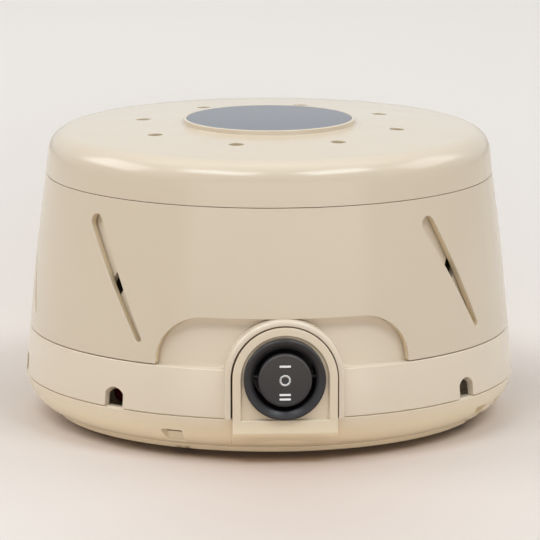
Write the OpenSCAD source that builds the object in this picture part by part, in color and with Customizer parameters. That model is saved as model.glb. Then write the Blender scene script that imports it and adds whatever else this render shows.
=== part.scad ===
// White noise sound machine: a fan turned by a shaded-pole motor inside two
// nested shells, whose slots and holes are opened and closed by turning the
// collar and the cap.
// Z is up, the floor is z = 0, the axis of the shells is the Z axis and the
// switch faces -Y. Angles called azimuth are counted from -Y towards +X.

/* [Outline] */
// Diameter at the seam between pan and base ring, the widest place
body_d = 146; // [144:0.5:149]
// How far the base ring draws in from the pan to its top edge
ring_draft = 1.3; // [0.8:0.1:1.6]
// How far the collar's bottom edge is set back from the base ring
collar_setback = 0.1; // [0.1:0.05:0.4]
// How far the collar draws in from its bottom edge to the cap
collar_draft = 5.1; // [3.6:0.1:6.1]
// Radius of the collar's slightly bowed side, in section
collar_bow_r = 756; // [600:20:1200]
// Height of the seam between pan and base ring
pan_seam_z = 13.6; // [13:0.1:14.4]
// Height of the base ring
ring_h = 14; // [13.6:0.2:14.6]
// Height of the collar
collar_h = 45.8; // [45:0.2:48]
// Height of the cap's side below its shoulder
cap_side_h = 5.9; // [5:0.1:8]
// Inward lean of the cap's side, in degrees
cap_lean = 5.5; // [3:0.5:7]
// Radius of the cap's shoulder
shoulder_r = 6.75; // [5.5:0.25:9]
// Radius of the cap's crowned top, in section
crown_r = 974; // [700:10:1400]
// Thickness of the moulded walls
wall = 2; // [1.8:0.1:2.2]
// Height of the dark seams beside the collar
seam = 0.3; // [0.2:0.05:0.5]
// Gap between a turning shell and the shell inside it
turn_gap = 0.4; // [0.3:0.05:0.6]

/* [Cap] */
// Number of sound holes in the cap
hole_count = 8; // [6:1:10]
// Diameter of the sound holes
hole_d = 4.4; // [3:0.2:6]
// Radius of the ring of sound holes
hole_ring_r = 38.9; // [35:0.5:44]
// Azimuth of the first sound hole of the cap
cap_hole_azimuth = -17.5; // [-22:0.5:22]
// How far the holes of the dome lie past those of the cap, in degrees
dome_hole_lag = 4; // [0:0.5:22]
// Diameter of the badge
badge_d = 49.2; // [44:0.4:54]
// Thickness of the badge
badge_t = 0.8; // [0.6:0.1:1.2]
// Width of the rim round the badge
badge_rim = 1; // [0.6:0.1:2]
// Height of the rim above the cap
badge_rise = 1.5; // [1:0.1:2]
// Outer diameter of the snap hub under the cap
snap_d = 19; // [17:0.5:22]
// Radius on which the cap's stop peg turns
stop_r = 17; // [16:0.5:19]
// Diameter of the stop peg
stop_d = 3.2; // [2.6:0.2:4]
// Turn of the cap to either side, in degrees
cap_swing = 22; // [15:1:25]

/* [Collar] */
// Number of slot places round the collar; the one over the switch is left out
slot_places = 8; // [8:1:8]
// Azimuth of the slots, past each eighth of a turn
slot_azimuth = 2.1; // [-3:0.1:3]
// Height of the centre of a slot's wide upper end
slot_top_z = 65.7; // [62:0.1:67]
// Height of the centre of a slot's narrow lower end
slot_bottom_z = 34.2; // [33:0.1:38]
// Width of a slot's upper end
slot_top_w = 4.4; // [3:0.2:5]
// Width of a slot's lower end
slot_bottom_w = 1.6; // [1:0.1:2.4]
// Sideways run of a slot from end to end
slot_run = 18.6; // [14:0.2:20]
// Width of the matching slots in the housing, at their upper end
inner_slot_w = 5.2; // [4:0.2:6]
// Width of the front cut-out at the collar's bottom edge
cutout_w = 72.6; // [70:0.2:76]
// Height of the front cut-out above the collar's bottom edge
cutout_h = 14.4; // [14.2:0.1:15.4]
// Corner radius of the front cut-out
cutout_r = 13.6; // [11:0.2:14]

/* [Base ring] */
// Width of the small windows over the pan seam
window_w = 6.6; // [5:0.2:8]
// Height of the windows
window_h = 6; // [5:0.2:8]
// Radius of the windows' arched top
window_r = 3.9; // [3.6:0.1:6]
// Azimuth of the windows, past each eighth of a turn
window_azimuth = 3.6; // [-4:0.2:6]
// Outer radius of the arch round the switch plate
arch_r = 17.1; // [16.6:0.1:17.4]
// Gap between the arch and the switch plate
arch_gap = 0.4; // [0.3:0.05:0.5]
// Azimuth of the gland, a little to one side of the back
gland_azimuth = 195; // [170:1:200]
// Height of the gland's centre
gland_z = 20; // [19.8:0.1:20.4]
// Diameter of the gland's bore
gland_bore_d = 6.6; // [6:0.1:6.8]

/* [Pan] */
// Height of the feet below the pan
foot_h = 2; // [1.6:0.1:2.4]
// Diameter of the feet
foot_d = 13; // [10:0.5:15]
// Radius on which the feet stand
foot_ring_r = 48; // [46:0.5:50]
// Thickness of the pan's floor
floor_t = 2.4; // [2:0.1:2.6]
// How far the pan's lip, next to the floor, lies inside the widest circle
lip_inset = 9; // [8.4:0.1:9.4]
// Height of the lip
lip_h = 1.5; // [1.2:0.1:1.8]
// Radius of the pan's rounded side, in section
pan_round_r = 12; // [11:0.2:16]
// Width of the notches in the pan's side
notch_w = 6.8; // [5:0.2:8]
// How far the housing screws stand inside the widest circle
post_inset = 13; // [12.5:0.25:14]
// Diameter of the posts of the housing screws
post_d = 8.4; // [8:0.1:9]
// Diameter of the housing screws
screw_d = 3; // [2.6:0.1:3.4]

/* [Switch] */
// Height of the switch's centre
switch_z = 25.2; // [25:0.1:25.4]
// How far the switch plate's front stands outside the widest circle
plate_proud = 0.2; // [0.1:0.05:0.6]
// Half width of the switch plate and radius of its round top
plate_r = 15; // [14.8:0.1:15.4]
// Half width of the recess in the switch plate
recess_r = 12.7; // [12.4:0.1:13.2]
// Depth of the recess
recess_depth = 1; // [0.6:0.1:1.4]
// Thickness of the plate behind the recess
plate_t = 2.5; // [2:0.1:3]
// Diameter of the switch bezel
bezel_d = 23.4; // [22.6:0.2:24]
// Height of the bezel above the recess
bezel_h = 2.2; // [1.8:0.1:2.6]
// Diameter of the switch body
switch_d = 19.8; // [19.4:0.1:20.2]
// Depth of the switch body behind the plate's recess
switch_depth = 17; // [15:0.5:19]
// Diameter of the rocker's well
well_d = 18; // [17.6:0.1:18.2]
// Diameter of the rocker's disc
rocker_d = 15.3; // [14:0.1:15.6]
// Depth of the rocker's pivot behind its face
pivot_depth = 6.4; // [6:0.1:7]
// Diameter of the rocker's pivot pins
pivot_d = 2.9; // [2.4:0.1:3.2]

/* [Motor] */
// Height of the underside of the lamination stack
stack_z = 26; // [25.6:0.1:27]
// Height of the lamination stack
stack_h = 16; // [14:0.5:17]
// Width of the lamination stack
stack_w = 60; // [56:1:62]
// Diameter of the rotor
rotor_d = 25.8; // [24:0.2:27]
// Air gap between rotor and poles
air_gap = 0.5; // [0.4:0.1:0.8]
// Diameter of the shaft
shaft_d = 5; // [4:0.2:6]
// Length of the bearings
bearing_h = 8; // [6:0.5:8]
// Outer diameter of the bearings
bearing_d = 10; // [9:0.2:11]
// Running clearance of the shaft in a bearing, on the radius
shaft_gap = 0.04; // [0.02:0.01:0.08]
// Thickness of the bearing brackets
bracket_t = 2; // [1.6:0.1:2.2]
// Half distance between the motor screws
motor_screw_x = 24; // [23:0.25:25]
// Diameter of the motor screws
motor_screw_d = 4; // [3:0.2:4.4]
// Height of the underside of the motor plate
motor_plate_z = 15; // [14.6:0.1:15.2]
// Thickness of the motor plate
motor_plate_t = 1.2; // [1:0.1:1.6]
// Width of the winding's wire bundle, measured out from the bobbin tube
winding_t = 6.6; // [5:0.2:7]

/* [Fan] */
// Diameter of the fan
fan_d = 100; // [90:1:106]
// Height of the fan's back plate
fan_z = 60; // [59:0.5:62]
// Height of the blades
blade_h = 14; // [10:0.5:15]
// Number of blades
blade_count = 11; // [7:1:13]
// Thickness of the blades
blade_t = 1.6; // [1.2:0.1:2]
// Unevenness of the blades' spacing, in degrees
blade_stagger = 5; // [0:0.5:6]

/* [Hidden] */
$fn = 96;

cream = [0.86, 0.80, 0.70];
slate = [0.40, 0.43, 0.47];
black_plastic = [0.08, 0.08, 0.09];
rubber = [0.12, 0.12, 0.12];
steel = [0.66, 0.67, 0.69];
electric_steel = [0.42, 0.43, 0.45];
aluminium = [0.80, 0.81, 0.82];
brass = [0.80, 0.66, 0.34];
bronze = [0.66, 0.48, 0.28];
copper = [0.72, 0.42, 0.26];
nylon = [0.90, 0.89, 0.84];

// A cut that has to break a surface goes this much past it.
past = 1;

// Radii and heights of the shells, all from the outline.
body_r = body_d / 2;
ring_top_r = body_r - ring_draft;
collar_bottom_r = ring_top_r - collar_setback;
cap_r = collar_bottom_r - collar_draft;
lip_r = body_r - lip_inset;
post_ring_r = body_r - post_inset;
ledge_z = pan_seam_z + ring_h;
cap_seam_z = ledge_z + collar_h;
inset = wall + turn_gap;
dome_inset = inset + 0.3;

// The collar's side is an arc whose centre lies far inside the axis.
side_chord = norm([collar_bottom_r - cap_r, collar_h]);
side_normal = [collar_h, collar_bottom_r - cap_r] / side_chord;
side_centre = [(collar_bottom_r + cap_r) / 2, ledge_z + collar_h / 2]
    - side_normal * sqrt(pow(collar_bow_r, 2) - pow(side_chord / 2, 2));
cut_top_z = ledge_z + cutout_h;
function side_r(z, inward = 0) =
    side_centre[0] + sqrt(pow(collar_bow_r - inward, 2) - pow(z - side_centre[1], 2));

// The cap's shoulder is an arc tangent to its leaning side and to its crown.
shoulder_z = cap_seam_z + cap_side_h;
shoulder_x = cap_r - cap_side_h * tan(cap_lean) - shoulder_r / cos(cap_lean);
crown_z = shoulder_z - sqrt(pow(crown_r - shoulder_r, 2) - pow(shoulder_x, 2));
crown_angle = atan2(shoulder_z - crown_z, shoulder_x);
function crown_top(r, inward = 0) = crown_z + sqrt(pow(crown_r - inward, 2) - r * r);

badge_r = badge_d / 2;
boss_top_z = crown_top(badge_r) + badge_rise;
snap_r = snap_d / 2;
snap_wall = 2;
snap_lip = 1;
snap_slit = 1.6;
dome_bottom_z = crown_top(snap_r, dome_inset + wall);
lip_top_z = dome_bottom_z - turn_gap;

// Pan
pan_floor_z = foot_h + floor_t;
pan_shoulder_z = foot_h + lip_h;
pan_step = 0.5;
rim_groove = 0.8;
post_azimuths = [-26.6, 63.4, 153.4, 243.4];
post_top_z = pan_seam_z - 1.6;
head_d = 2 * screw_d;
head_seat_z = foot_h + 4;
post_r = post_d / 2;
foot_azimuths = [45, 135, 225, 315];

// Cord gland: it stands square on the base ring's leaning side.
ring_bottom_z = pan_seam_z + seam / 2;
ring_edge_z = ledge_z - seam / 2;
ring_slope = atan2(ring_draft, ring_edge_z - ring_bottom_z);
gland_ring_r = body_r - (gland_z - ring_bottom_z) * tan(ring_slope);
bush_r = gland_bore_d / 2 + 1.2;
bush_gap = 0.05;

// Switch
front_y = body_r + plate_proud;
recess_y = front_y - recess_depth;
plate_back_y = recess_y - plate_t;
arch_hole_r = plate_r + arch_gap;
block_top_z = switch_z - bezel_d / 2 - 0.1;
block_bottom_z = block_top_z - 5;
rocker_face = bezel_h + 0.4;
pivot_h = rocker_face - pivot_depth;
pivot_gap = 0.05;
well_floor_h = pivot_h - 5;
terminal = [4.8, 0.8, 8];
terminal_pitch = 6;

// Motor
stack_top_z = stack_z + stack_h;
pole_y = 20;
leg_w = 11;
yoke_y = 36;
yoke_t = 11;
bore_r = rotor_d / 2 + air_gap;
strap_drop = 5.5;
strap_w = 14;
hub_wall = 2.5;
low_strap_z = stack_z - bracket_t - strap_drop;
high_strap_z = stack_top_z + bracket_t + strap_drop;
low_bearing_z = low_strap_z + bracket_t - bearing_h;
high_bearing_z = high_strap_z - bracket_t;
ring_slot = 2.6;
ring_wire_d = 2.4;
motor_plate_top_z = motor_plate_z + motor_plate_t;
foot_z = stack_z - bracket_t;
mount_x = 36;
mount_y = 14;
mount_flange_t = 2;
mount_flange_r = 5;
mount_neck_r = 3;
mount_pin_r = 2;
mount_post_z = motor_plate_z - mount_flange_t;
mount_top_z = motor_plate_top_z + mount_flange_t;
rotor_ring_h = 1.8;
washer_t = 0.9;
washer_float = 0.05;

// Coil
bobbin_t = 1.1;
bobbin_gap = 0.1;
bobbin_half = 16;
coil_y = yoke_y + yoke_t / 2;
coil_z = stack_z + stack_h / 2;
tube_y = yoke_t + 2 * (bobbin_t + bobbin_gap);
tube_z = stack_h + 2 * (bobbin_t + bobbin_gap);

// Fan
fan_plate_t = 1.6;
fan_hub_r = 6.5;
fan_hub_drop = 2;
fan_top_z = fan_z + fan_plate_t + blade_h;
fan_eye_r = 24;
shaft_top_z = fan_top_z + 1;
shaft_bottom_z = low_bearing_z - 0.5;

// Routes of the leads, from the switch or the splice to the coil.
lead_d = 1.8;
splice_d = 6;
splice_l = 15;
splice_at = [-44.5, -32, 14];
saddle_l = 5;
tip_y = -recess_y + switch_depth + terminal[2];
off_tip = [for (step = [0.1, 1.5, 3]) tip_y + step];
route_red = concat([for (y = off_tip) [0, y, switch_z + terminal_pitch]], [[-5, -41.5, 31], [-14, -40, 29],
    [-26, -37, 24], [-35, -31, 19.5], [-39, -25, 18], [-41.5, -21, 17.2], [-44, -20.5, 16],
    [-44.5, -22.6, 15.3], [-44.5, -25.2, 15.3]]);
route_black = concat([for (y = off_tip) [0, y, switch_z]], [[5, -40.5, 24], [14, -37.5, 19.5],
    [30, -33, 18.8], [43, -22, 20], [49, -6, 22], [48, 12, 24], [42, 26, 26], [32, 33.5, 24],
    [21, 38, 20.5], [18.5, 38, 20.5], [16.1, 38, 20.5]]);
route_white = [[-44.5, -25.2, 12.7], [-44.5, -22.6, 12.7], [-46, -18, 12.8], [-47.5, -12, 13.4],
    [-50, 0, 16], [-49, 12, 20], [-43, 25, 23], [-33, 33, 22.5],
    [-21, 38, 20.5], [-18.5, 38, 20.5], [-16.1, 38, 20.5]];

// ---- helpers --------------------------------------------------------------

// Puts its children at an azimuth counted from -Y towards +X, on a radius.
module at_azimuth(azimuth, r = 0) {
    rotate([0, 0, azimuth]) translate([0, -r, 0]) children();
}

// Turns a drawing in X and Y, extruded along Z, to face outwards at -Y.
module facing_front(y, z) {
    translate([0, -y, z]) rotate([90, 0, 0]) children();
}

// A sector of a circle between two directions less than 150 degrees apart.
module sector(centre, r, from, to) {
    reach = 2 * r;
    middle = (from + to) / 2;
    intersection() {
        translate(centre) circle(r = r);
        polygon([centre, centre + reach * [cos(from), sin(from)],
            centre + reach * [cos(middle), sin(middle)],
            centre + reach * [cos(to), sin(to)]]);
    }
}

module rounded_rectangle(size, r) {
    half = [size[0] / 2 - r, size[1] / 2 - r];
    square([size[0], size[1] - 2 * r], center = true);
    square([size[0] - 2 * r, size[1]], center = true);
    for (x = [-1, 1], y = [-1, 1]) translate([x * half[0], y * half[1]]) circle(r = r);
}

// A half-round arch over straight legs: centre at the origin, legs down to -leg.
module arch_outline(r, leg) {
    circle(r = r);
    translate([-r, -leg]) square([2 * r, leg]);
}

// Section of everything inside the cap's surface, moved inwards, above a height.
module cap_section(inward, bottom_z) {
    centre = [shoulder_x, shoulder_z];
    r = shoulder_r - inward;
    side_top = centre + r * [cos(cap_lean), sin(cap_lean)];
    side_bottom_x = side_top[0] + (side_top[1] - bottom_z) * tan(cap_lean);
    crown_edge = centre + r * [cos(crown_angle), sin(crown_angle)];
    polygon([[0, bottom_z], [side_bottom_x, bottom_z], side_top, crown_edge, [0, crown_edge[1]]]);
    sector(centre, r, cap_lean, crown_angle);
    intersection() {
        translate([0, crown_z]) circle(r = crown_r - inward, $fn = 720);
        translate([0, bottom_z]) square([crown_edge[0], 4 * shoulder_r]);
    }
}

// Section of a wall that follows the collar's bowed side.
module side_section(inward, thickness, z0, z1) {
    intersection() {
        difference() {
            translate(side_centre) circle(r = collar_bow_r - inward, $fn = 720);
            translate(side_centre) circle(r = collar_bow_r - inward - thickness, $fn = 720);
        }
        translate([cap_r / 2, z0]) square([body_r, z1 - z0]);
    }
}

// Outline of a teardrop slot, upright in X and Y; lean is its run to the side.
// The flanks are a hair narrower than the round ends, so that they cross them
// cleanly where true tangents would leave slivers.
module teardrop(top_w, bottom_w, lean, height) {
    top = [-lean / 2, height / 2];
    bottom = [lean / 2, -height / 2];
    along = (top - bottom) / norm(top - bottom);
    across = 0.995 / 2 * [along[1], -along[0]];
    translate(top) circle(d = top_w);
    translate(bottom) circle(d = bottom_w);
    polygon([top + top_w * across, top - top_w * across,
        bottom - bottom_w * across, bottom + bottom_w * across]);
}

// Cutters for the slots in the collar (lean > 0) or in the housing (lean < 0).
module slot_cutters(top_w, bottom_w, lean) {
    pitch = 360 / slot_places;
    for (i = [1 : slot_places - 1]) at_azimuth(i * pitch + slot_azimuth)
        translate([0, -cap_r + 4 * inset, (slot_top_z + slot_bottom_z) / 2])
            rotate([90, 0, 0])
                linear_extrude(4 * inset + body_r - cap_r + past)
                    teardrop(top_w, bottom_w, lean, slot_top_z - slot_bottom_z);
}

// A smooth curve through a list of points, and a tube along it.
function curve_point(p, i, t) = let (
    a = p[max(i - 1, 0)], b = p[i], c = p[i + 1], d = p[min(i + 2, len(p) - 1)])
    0.5 * (2 * b + (c - a) * t + (2 * a - 5 * b + 4 * c - d) * t * t
        + (3 * b - a - 3 * c + d) * t * t * t);
function curve(p, steps) = concat(
    [for (i = [0 : len(p) - 2], k = [0 : steps - 1]) curve_point(p, i, k / steps)],
    [p[len(p) - 1]]);
function unit(v) = v / norm(v);

module tube_along(points, d, steps = 4, sides = 8) {
    line = curve(points, steps);
    last = len(line) - 1;
    rings = [for (i = [0 : last]) let (
        way = unit(line[min(i + 1, last)] - line[max(i - 1, 0)]),
        side = unit(cross(way, [0, 0, 1])),
        up = cross(side, way))
        for (k = [0 : sides - 1])
            line[i] + d / 2 * (cos(k * 360 / sides) * side + sin(k * 360 / sides) * up)];
    polyhedron(rings, concat(
        [[for (k = [0 : sides - 1]) k]],
        [for (i = [0 : last - 1], k = [0 : sides - 1]) let (next = (k + 1) % sides)
            [i * sides + k, (i + 1) * sides + k, (i + 1) * sides + next, i * sides + next]],
        [[for (k = [sides - 1 : -1 : 0]) last * sides + k]]));
}

// ---- cap ------------------------------------------------------------------

module hole_ring(azimuth, d) {
    for (i = [0 : hole_count - 1]) at_azimuth(azimuth + i * 360 / hole_count, hole_ring_r)
        translate([0, 0, cap_seam_z]) cylinder(d = d, h = 3 * shoulder_r);
}

// Hooked fingers that snap through the dome and let the cap turn.
module snap_hub() {
    top_z = crown_top(snap_r, wall) + wall / 2;
    hook_h = 1.6;
    difference() {
        rotate_extrude() polygon([[snap_r - snap_wall, top_z], [snap_r, top_z], [snap_r, lip_top_z],
            [snap_r + snap_lip, lip_top_z], [snap_r + snap_lip, lip_top_z - hook_h / 2],
            [snap_r, lip_top_z - hook_h - snap_lip], [snap_r - snap_wall, lip_top_z - hook_h - snap_lip]]);
        for (a = [0 : 90 : 179]) rotate([0, 0, a + 45])
            translate([-2 * snap_r, -snap_slit / 2, lip_top_z - 2 * hook_h - past])
                cube([4 * snap_r, snap_slit, 2 * hook_h + past + inset]);
    }
}

module cap() {
    stop_drop = crown_top(stop_r, dome_inset + wall / 2);
    color(cream) {
        difference() {
            union() {
                rotate_extrude() difference() {
                    union() {
                        cap_section(0, cap_seam_z + seam / 2);
                        square_top = boss_top_z - cap_seam_z - seam;
                        translate([0, cap_seam_z + seam]) square([badge_r + badge_rim, square_top]);
                    }
                    cap_section(wall, cap_seam_z - past);
                }
            }
            hole_ring(cap_hole_azimuth, hole_d);
            translate([0, 0, boss_top_z - badge_t]) cylinder(r = badge_r, h = badge_t + past);
        }
        snap_hub();
        at_azimuth(180, stop_r) translate([0, 0, stop_drop])
            cylinder(d = stop_d, h = crown_top(stop_r, wall / 2) - stop_drop);
    }
}

module badge() {
    color(slate) translate([0, 0, boss_top_z - badge_t]) cylinder(r = badge_r, h = badge_t);
}

// ---- collar ---------------------------------------------------------------

module cutout_outline() {
    half = cutout_w / 2;
    top = cut_top_z;
    bottom = ledge_z - past;
    polygon([[-half, bottom], [half, bottom], [half, top - cutout_r], [half - cutout_r, top],
        [-half + cutout_r, top], [-half, top - cutout_r]]);
    sector([half - cutout_r, top - cutout_r], cutout_r, 0, 90);
    sector([-half + cutout_r, top - cutout_r], cutout_r, 90, 180);
}

// The collar's wall: a cone as high as the cut-out, then the bowed side.
module collar_section() {
    low_z = ledge_z + seam / 2;
    side_section(0, wall, cut_top_z, cap_seam_z - seam / 2);
    polygon([[side_r(low_z, wall), low_z], [side_r(low_z), low_z], [side_r(cut_top_z), cut_top_z],
        [side_r(cut_top_z, wall), cut_top_z]]);
    translate([side_r(cut_top_z, wall / 2), cut_top_z]) square(wall / 3, center = true);
}

module collar() {
    color(cream) difference() {
        rotate([0, 0, -90]) rotate_extrude() collar_section();
        slot_cutters(slot_top_w, slot_bottom_w, slot_run);
        facing_front(cap_r / 2, 0) linear_extrude(body_r) cutout_outline();
    }
}

// ---- upper housing ----------------------------------------------------------

module housing_section() {
    ledge_t = wall;
    side_section(inset, wall, ledge_z - ledge_t - seam / 2, cap_seam_z);
    difference() {
        cap_section(dome_inset, cap_seam_z - wall);
        cap_section(dome_inset + wall, cap_seam_z - wall - past);
    }
    polygon([[body_r - wall, ring_bottom_z], [body_r, ring_bottom_z], [ring_top_r, ring_edge_z],
        [side_r(ledge_z, inset + wall / 2), ring_edge_z],
        [side_r(ledge_z, inset + wall / 2), ring_edge_z - ledge_t],
        [ring_top_r - wall, ring_edge_z - ledge_t]]);
}

// A section drawn beside the centre line, swept round an arch and down its legs.
module arch_sweep(leg) {
    rotate_extrude(angle = 180) children();
    for (side = [0, 1]) mirror([side, 0, 0])
        rotate([90, 0, 0]) linear_extrude(leg) children();
}

// The band that frames the switch plate, rounded on its outer edge.
module arch_band() {
    depth = 6;
    round_r = 1.1;
    facing_front(front_y - depth, switch_z)
        arch_sweep(switch_z - pan_seam_z - seam / 2) {
            union() {
                translate([arch_hole_r, 0]) square([arch_r - arch_hole_r - round_r, depth]);
                translate([arch_hole_r, 0]) square([arch_r - arch_hole_r, depth - round_r]);
                sector([arch_r - round_r, depth - round_r], round_r, 0, 90);
            }
        }
}

module window_outline() {
    square([window_w, window_h - window_r / 2]);
    translate([window_w / 2, 0]) intersection() {
        translate([0, window_h - window_r]) circle(r = window_r);
        translate([-window_w / 2, 0]) square([window_w, window_h + past]);
    }
}

module windows() {
    for (i = [1, 2, 3, 5, 6, 7]) at_azimuth(45 * i + window_azimuth)
        facing_front(side_r(ledge_z, 2 * inset + wall), pan_seam_z - past)
            linear_extrude(4 * inset) translate([-window_w / 2, 0]) {
                translate([0, past]) window_outline();
                square([window_w, 2 * past]);
            }
}

// Screw boss that stands on its pan post, tied to the walls by a web.
module screw_boss() {
    top_z = ledge_z + 6;
    web_t = 2;
    translate([0, 0, post_top_z]) cylinder(r = post_r - 0.3, h = top_z - post_top_z);
    translate([-web_t / 2, 0, 0]) rotate([90, 0, 90]) linear_extrude(web_t)
        polygon([[0, pan_seam_z + 3], [-(ring_top_r - wall / 2 - post_ring_r), pan_seam_z + 3],
            [-(ring_top_r - wall / 2 - post_ring_r), ledge_z - seam / 2 - wall / 2],
            [-(side_r(top_z, inset + wall / 2) - post_ring_r), ledge_z - seam / 2 - wall / 2],
            [-(side_r(top_z, inset + wall / 2) - post_ring_r), top_z], [0, top_z]]);
}

// Places its children on the base ring's side, with Z pointing squarely out of it.
module at_gland() {
    at_azimuth(gland_azimuth) facing_front(gland_ring_r, gland_z) rotate([-ring_slope, 0, 0]) children();
}

module stop_slot() {
    half_turn = cap_swing + 1 + asin(stop_d / 2 / stop_r);
    slot_w = stop_d + 2 * turn_gap;
    translate([0, 0, dome_bottom_z - past]) {
        rotate([0, 0, 90 - half_turn + asin(stop_d / 2 / stop_r)])
            rotate_extrude(angle = 2 * half_turn - 2 * asin(stop_d / 2 / stop_r))
                translate([stop_r - slot_w / 2, 0]) square([slot_w, wall + 2 * past]);
        for (side = [-1, 1]) at_azimuth(180 + side * (half_turn - asin(stop_d / 2 / stop_r)), stop_r)
            cylinder(d = slot_w, h = wall + 2 * past);
    }
}

module upper_housing() {
    color(cream) difference() {
        union() {
            difference() {
                rotate_extrude() housing_section();
                facing_front(cap_r / 2, switch_z) linear_extrude(body_r)
                    arch_outline(arch_hole_r, switch_z);
            }
            arch_band();
            for (a = post_azimuths) at_azimuth(a, post_ring_r) screw_boss();
        }
        rotate_extrude() side_section(-turn_gap, inset, cut_top_z - turn_gap, cap_seam_z);
        slot_cutters(inner_slot_w, slot_top_w, -slot_run);
        hole_ring(cap_hole_azimuth + dome_hole_lag, hole_d);
        stop_slot();
        windows();
        translate([0, 0, cap_seam_z]) cylinder(r = snap_r + turn_gap, h = 3 * shoulder_r);
        for (a = post_azimuths) at_azimuth(a, post_ring_r)
            translate([0, 0, post_top_z - past]) cylinder(d = screw_d, h = ledge_z + 3 - post_top_z);
        at_gland() translate([0, 0, -2 * wall]) cylinder(r = bush_r, h = 2 * wall + past);
    }
}

// ---- bottom pan -------------------------------------------------------------

// Section of everything inside the pan's rounded side, moved inwards.
module pan_section(inward, bottom_z) {
    top = [body_r, pan_seam_z - seam / 2];
    foot = [lip_r + pan_step, pan_shoulder_z];
    chord = norm(top - foot);
    out = [top[1] - foot[1], foot[0] - top[0]] / chord;
    centre = (top + foot) / 2 - out * sqrt(pow(pan_round_r, 2) - pow(chord / 2, 2));
    intersection() {
        translate(centre) circle(r = pan_round_r - inward);
        translate([0, foot[1]]) square([2 * body_r, top[1] - foot[1]]);
    }
    translate([0, bottom_z]) square([centre[0], top[1] - bottom_z]);
    translate([0, bottom_z]) square([lip_r - inward, foot[1] + past / 10 - foot_h]);
}

module notch_cutter() {
    low_z = pan_shoulder_z + 1.7;
    high_z = pan_shoulder_z + 5.4;
    taper = 1.2;
    depth = 1.5;
    translate([0, -side_r(ledge_z, wall) + depth, 0]) rotate([90, 0, 0])
        linear_extrude(2 * body_r)
            polygon([[-notch_w / 2, high_z], [notch_w / 2, high_z],
                [notch_w / 2 - taper / 2, low_z], [-notch_w / 2 + taper, low_z]]);
}

// The upright plate that carries the switch: a rim round a recess.
module switch_plate() {
    leg = switch_z - block_top_z;
    back_depth = recess_depth + plate_t;
    bevel = 0.5;
    facing_front(front_y - back_depth, switch_z) {
        linear_extrude(plate_t) arch_outline(plate_r, switch_z - block_bottom_z);
        arch_sweep(leg) polygon([[recess_r - bevel, plate_t - past / 4], [plate_r, plate_t - past / 4],
            [plate_r, back_depth - 0.3], [plate_r - 0.3, back_depth], [recess_r, back_depth],
            [recess_r - bevel, plate_t]]);
    }
    // Flat block below the recess, run out into the pan's rounded side.
    translate([-plate_r, 0, 0]) rotate([90, 0, 90]) linear_extrude(2 * plate_r)
        polygon([[-front_y, block_top_z], [-front_y, block_bottom_z + 1],
            [-front_y + 1, block_bottom_z], [-lip_r - 3, pan_shoulder_z + 1.4],
            [-lip_r, pan_shoulder_z + 1.4], [-plate_back_y + 1, block_top_z]]);
    // Ribs that brace the plate from behind.
    for (side = [-1, 1]) translate([side * (plate_r - 2.4) - 0.9, 0, 0])
        rotate([90, 0, 90]) linear_extrude(1.8)
            polygon([[-plate_back_y - 0.5, switch_z + 4], [-plate_back_y - 0.5, block_bottom_z + 2],
                [-lip_r + wall, pan_floor_z - 0.5], [-plate_back_y + 12, pan_floor_z - 0.5],
                [-plate_back_y + 12, pan_floor_z + 2]]);
}

module bottom_pan() {
    color(cream) difference() {
        union() {
            difference() {
                rotate_extrude() {
                    pan_section(0, foot_h);
                    translate([body_r - 2 * wall, pan_seam_z - wall])
                        square([2 * wall - rim_groove, wall + seam / 2]);
                }
                rotate_extrude() {
                    pan_section(wall, pan_floor_z);
                    translate([0, pan_seam_z - wall]) square([body_r - wall - 1.4, 2 * wall]);
                }
                for (a = [-26.6, 57.5, 68.5]) at_azimuth(a) notch_cutter();
            }
            switch_plate();
            for (a = post_azimuths) at_azimuth(a, post_ring_r) translate([0, 0, pan_floor_z - past])
                cylinder(r = post_r, h = post_top_z - pan_floor_z + past);
            for (x = [-1, 1], y = [-1, 1]) translate([x * mount_x, y * mount_y, pan_floor_z - past]) {
                cylinder(r = mount_flange_r - 0.8, h = mount_post_z - pan_floor_z + past);
                cylinder(r = mount_pin_r, h = mount_top_z + 2 - pan_floor_z + past);
            }
            // Saddle that holds the splice of the leads.
            translate([splice_at[0], splice_at[1], pan_floor_z - past])
                linear_extrude(splice_at[2] - pan_floor_z + past)
                    square([splice_d + 1.2 * wall, saddle_l], center = true);
        }
        translate(splice_at) rotate([90, 0, 0])
            cylinder(d = splice_d + 2 * bush_gap, h = saddle_l + 2 * past, center = true);
        for (a = post_azimuths) at_azimuth(a, post_ring_r) {
            translate([0, 0, foot_h - past]) cylinder(d = screw_d + 0.4, h = post_top_z);
            translate([0, 0, foot_h - past]) cylinder(d = head_d + 0.8, h = head_seat_z - foot_h + past);
        }
        for (a = foot_azimuths) at_azimuth(a, foot_ring_r)
            translate([0, 0, foot_h - past]) cylinder(d = foot_d / 3, h = floor_t + 2 * past);
        facing_front(plate_back_y - past, switch_z) cylinder(d = switch_d + 0.3, h = plate_t + 3 * past);
    }
}

module rubber_feet() {
    edge = 0.6;
    color(rubber) for (a = foot_azimuths) at_azimuth(a, foot_ring_r) {
        rotate_extrude() {
            square([foot_d / 2 - edge, foot_h]);
            translate([0, edge]) square([foot_d / 2, foot_h - edge]);
            sector([foot_d / 2 - edge, edge], edge, -90, 0);
        }
        cylinder(d = foot_d / 3, h = pan_floor_z);
        translate([0, 0, pan_floor_z]) cylinder(d1 = foot_d / 3 + 2, d2 = foot_d / 4, h = 2.2);
    }
}

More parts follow.
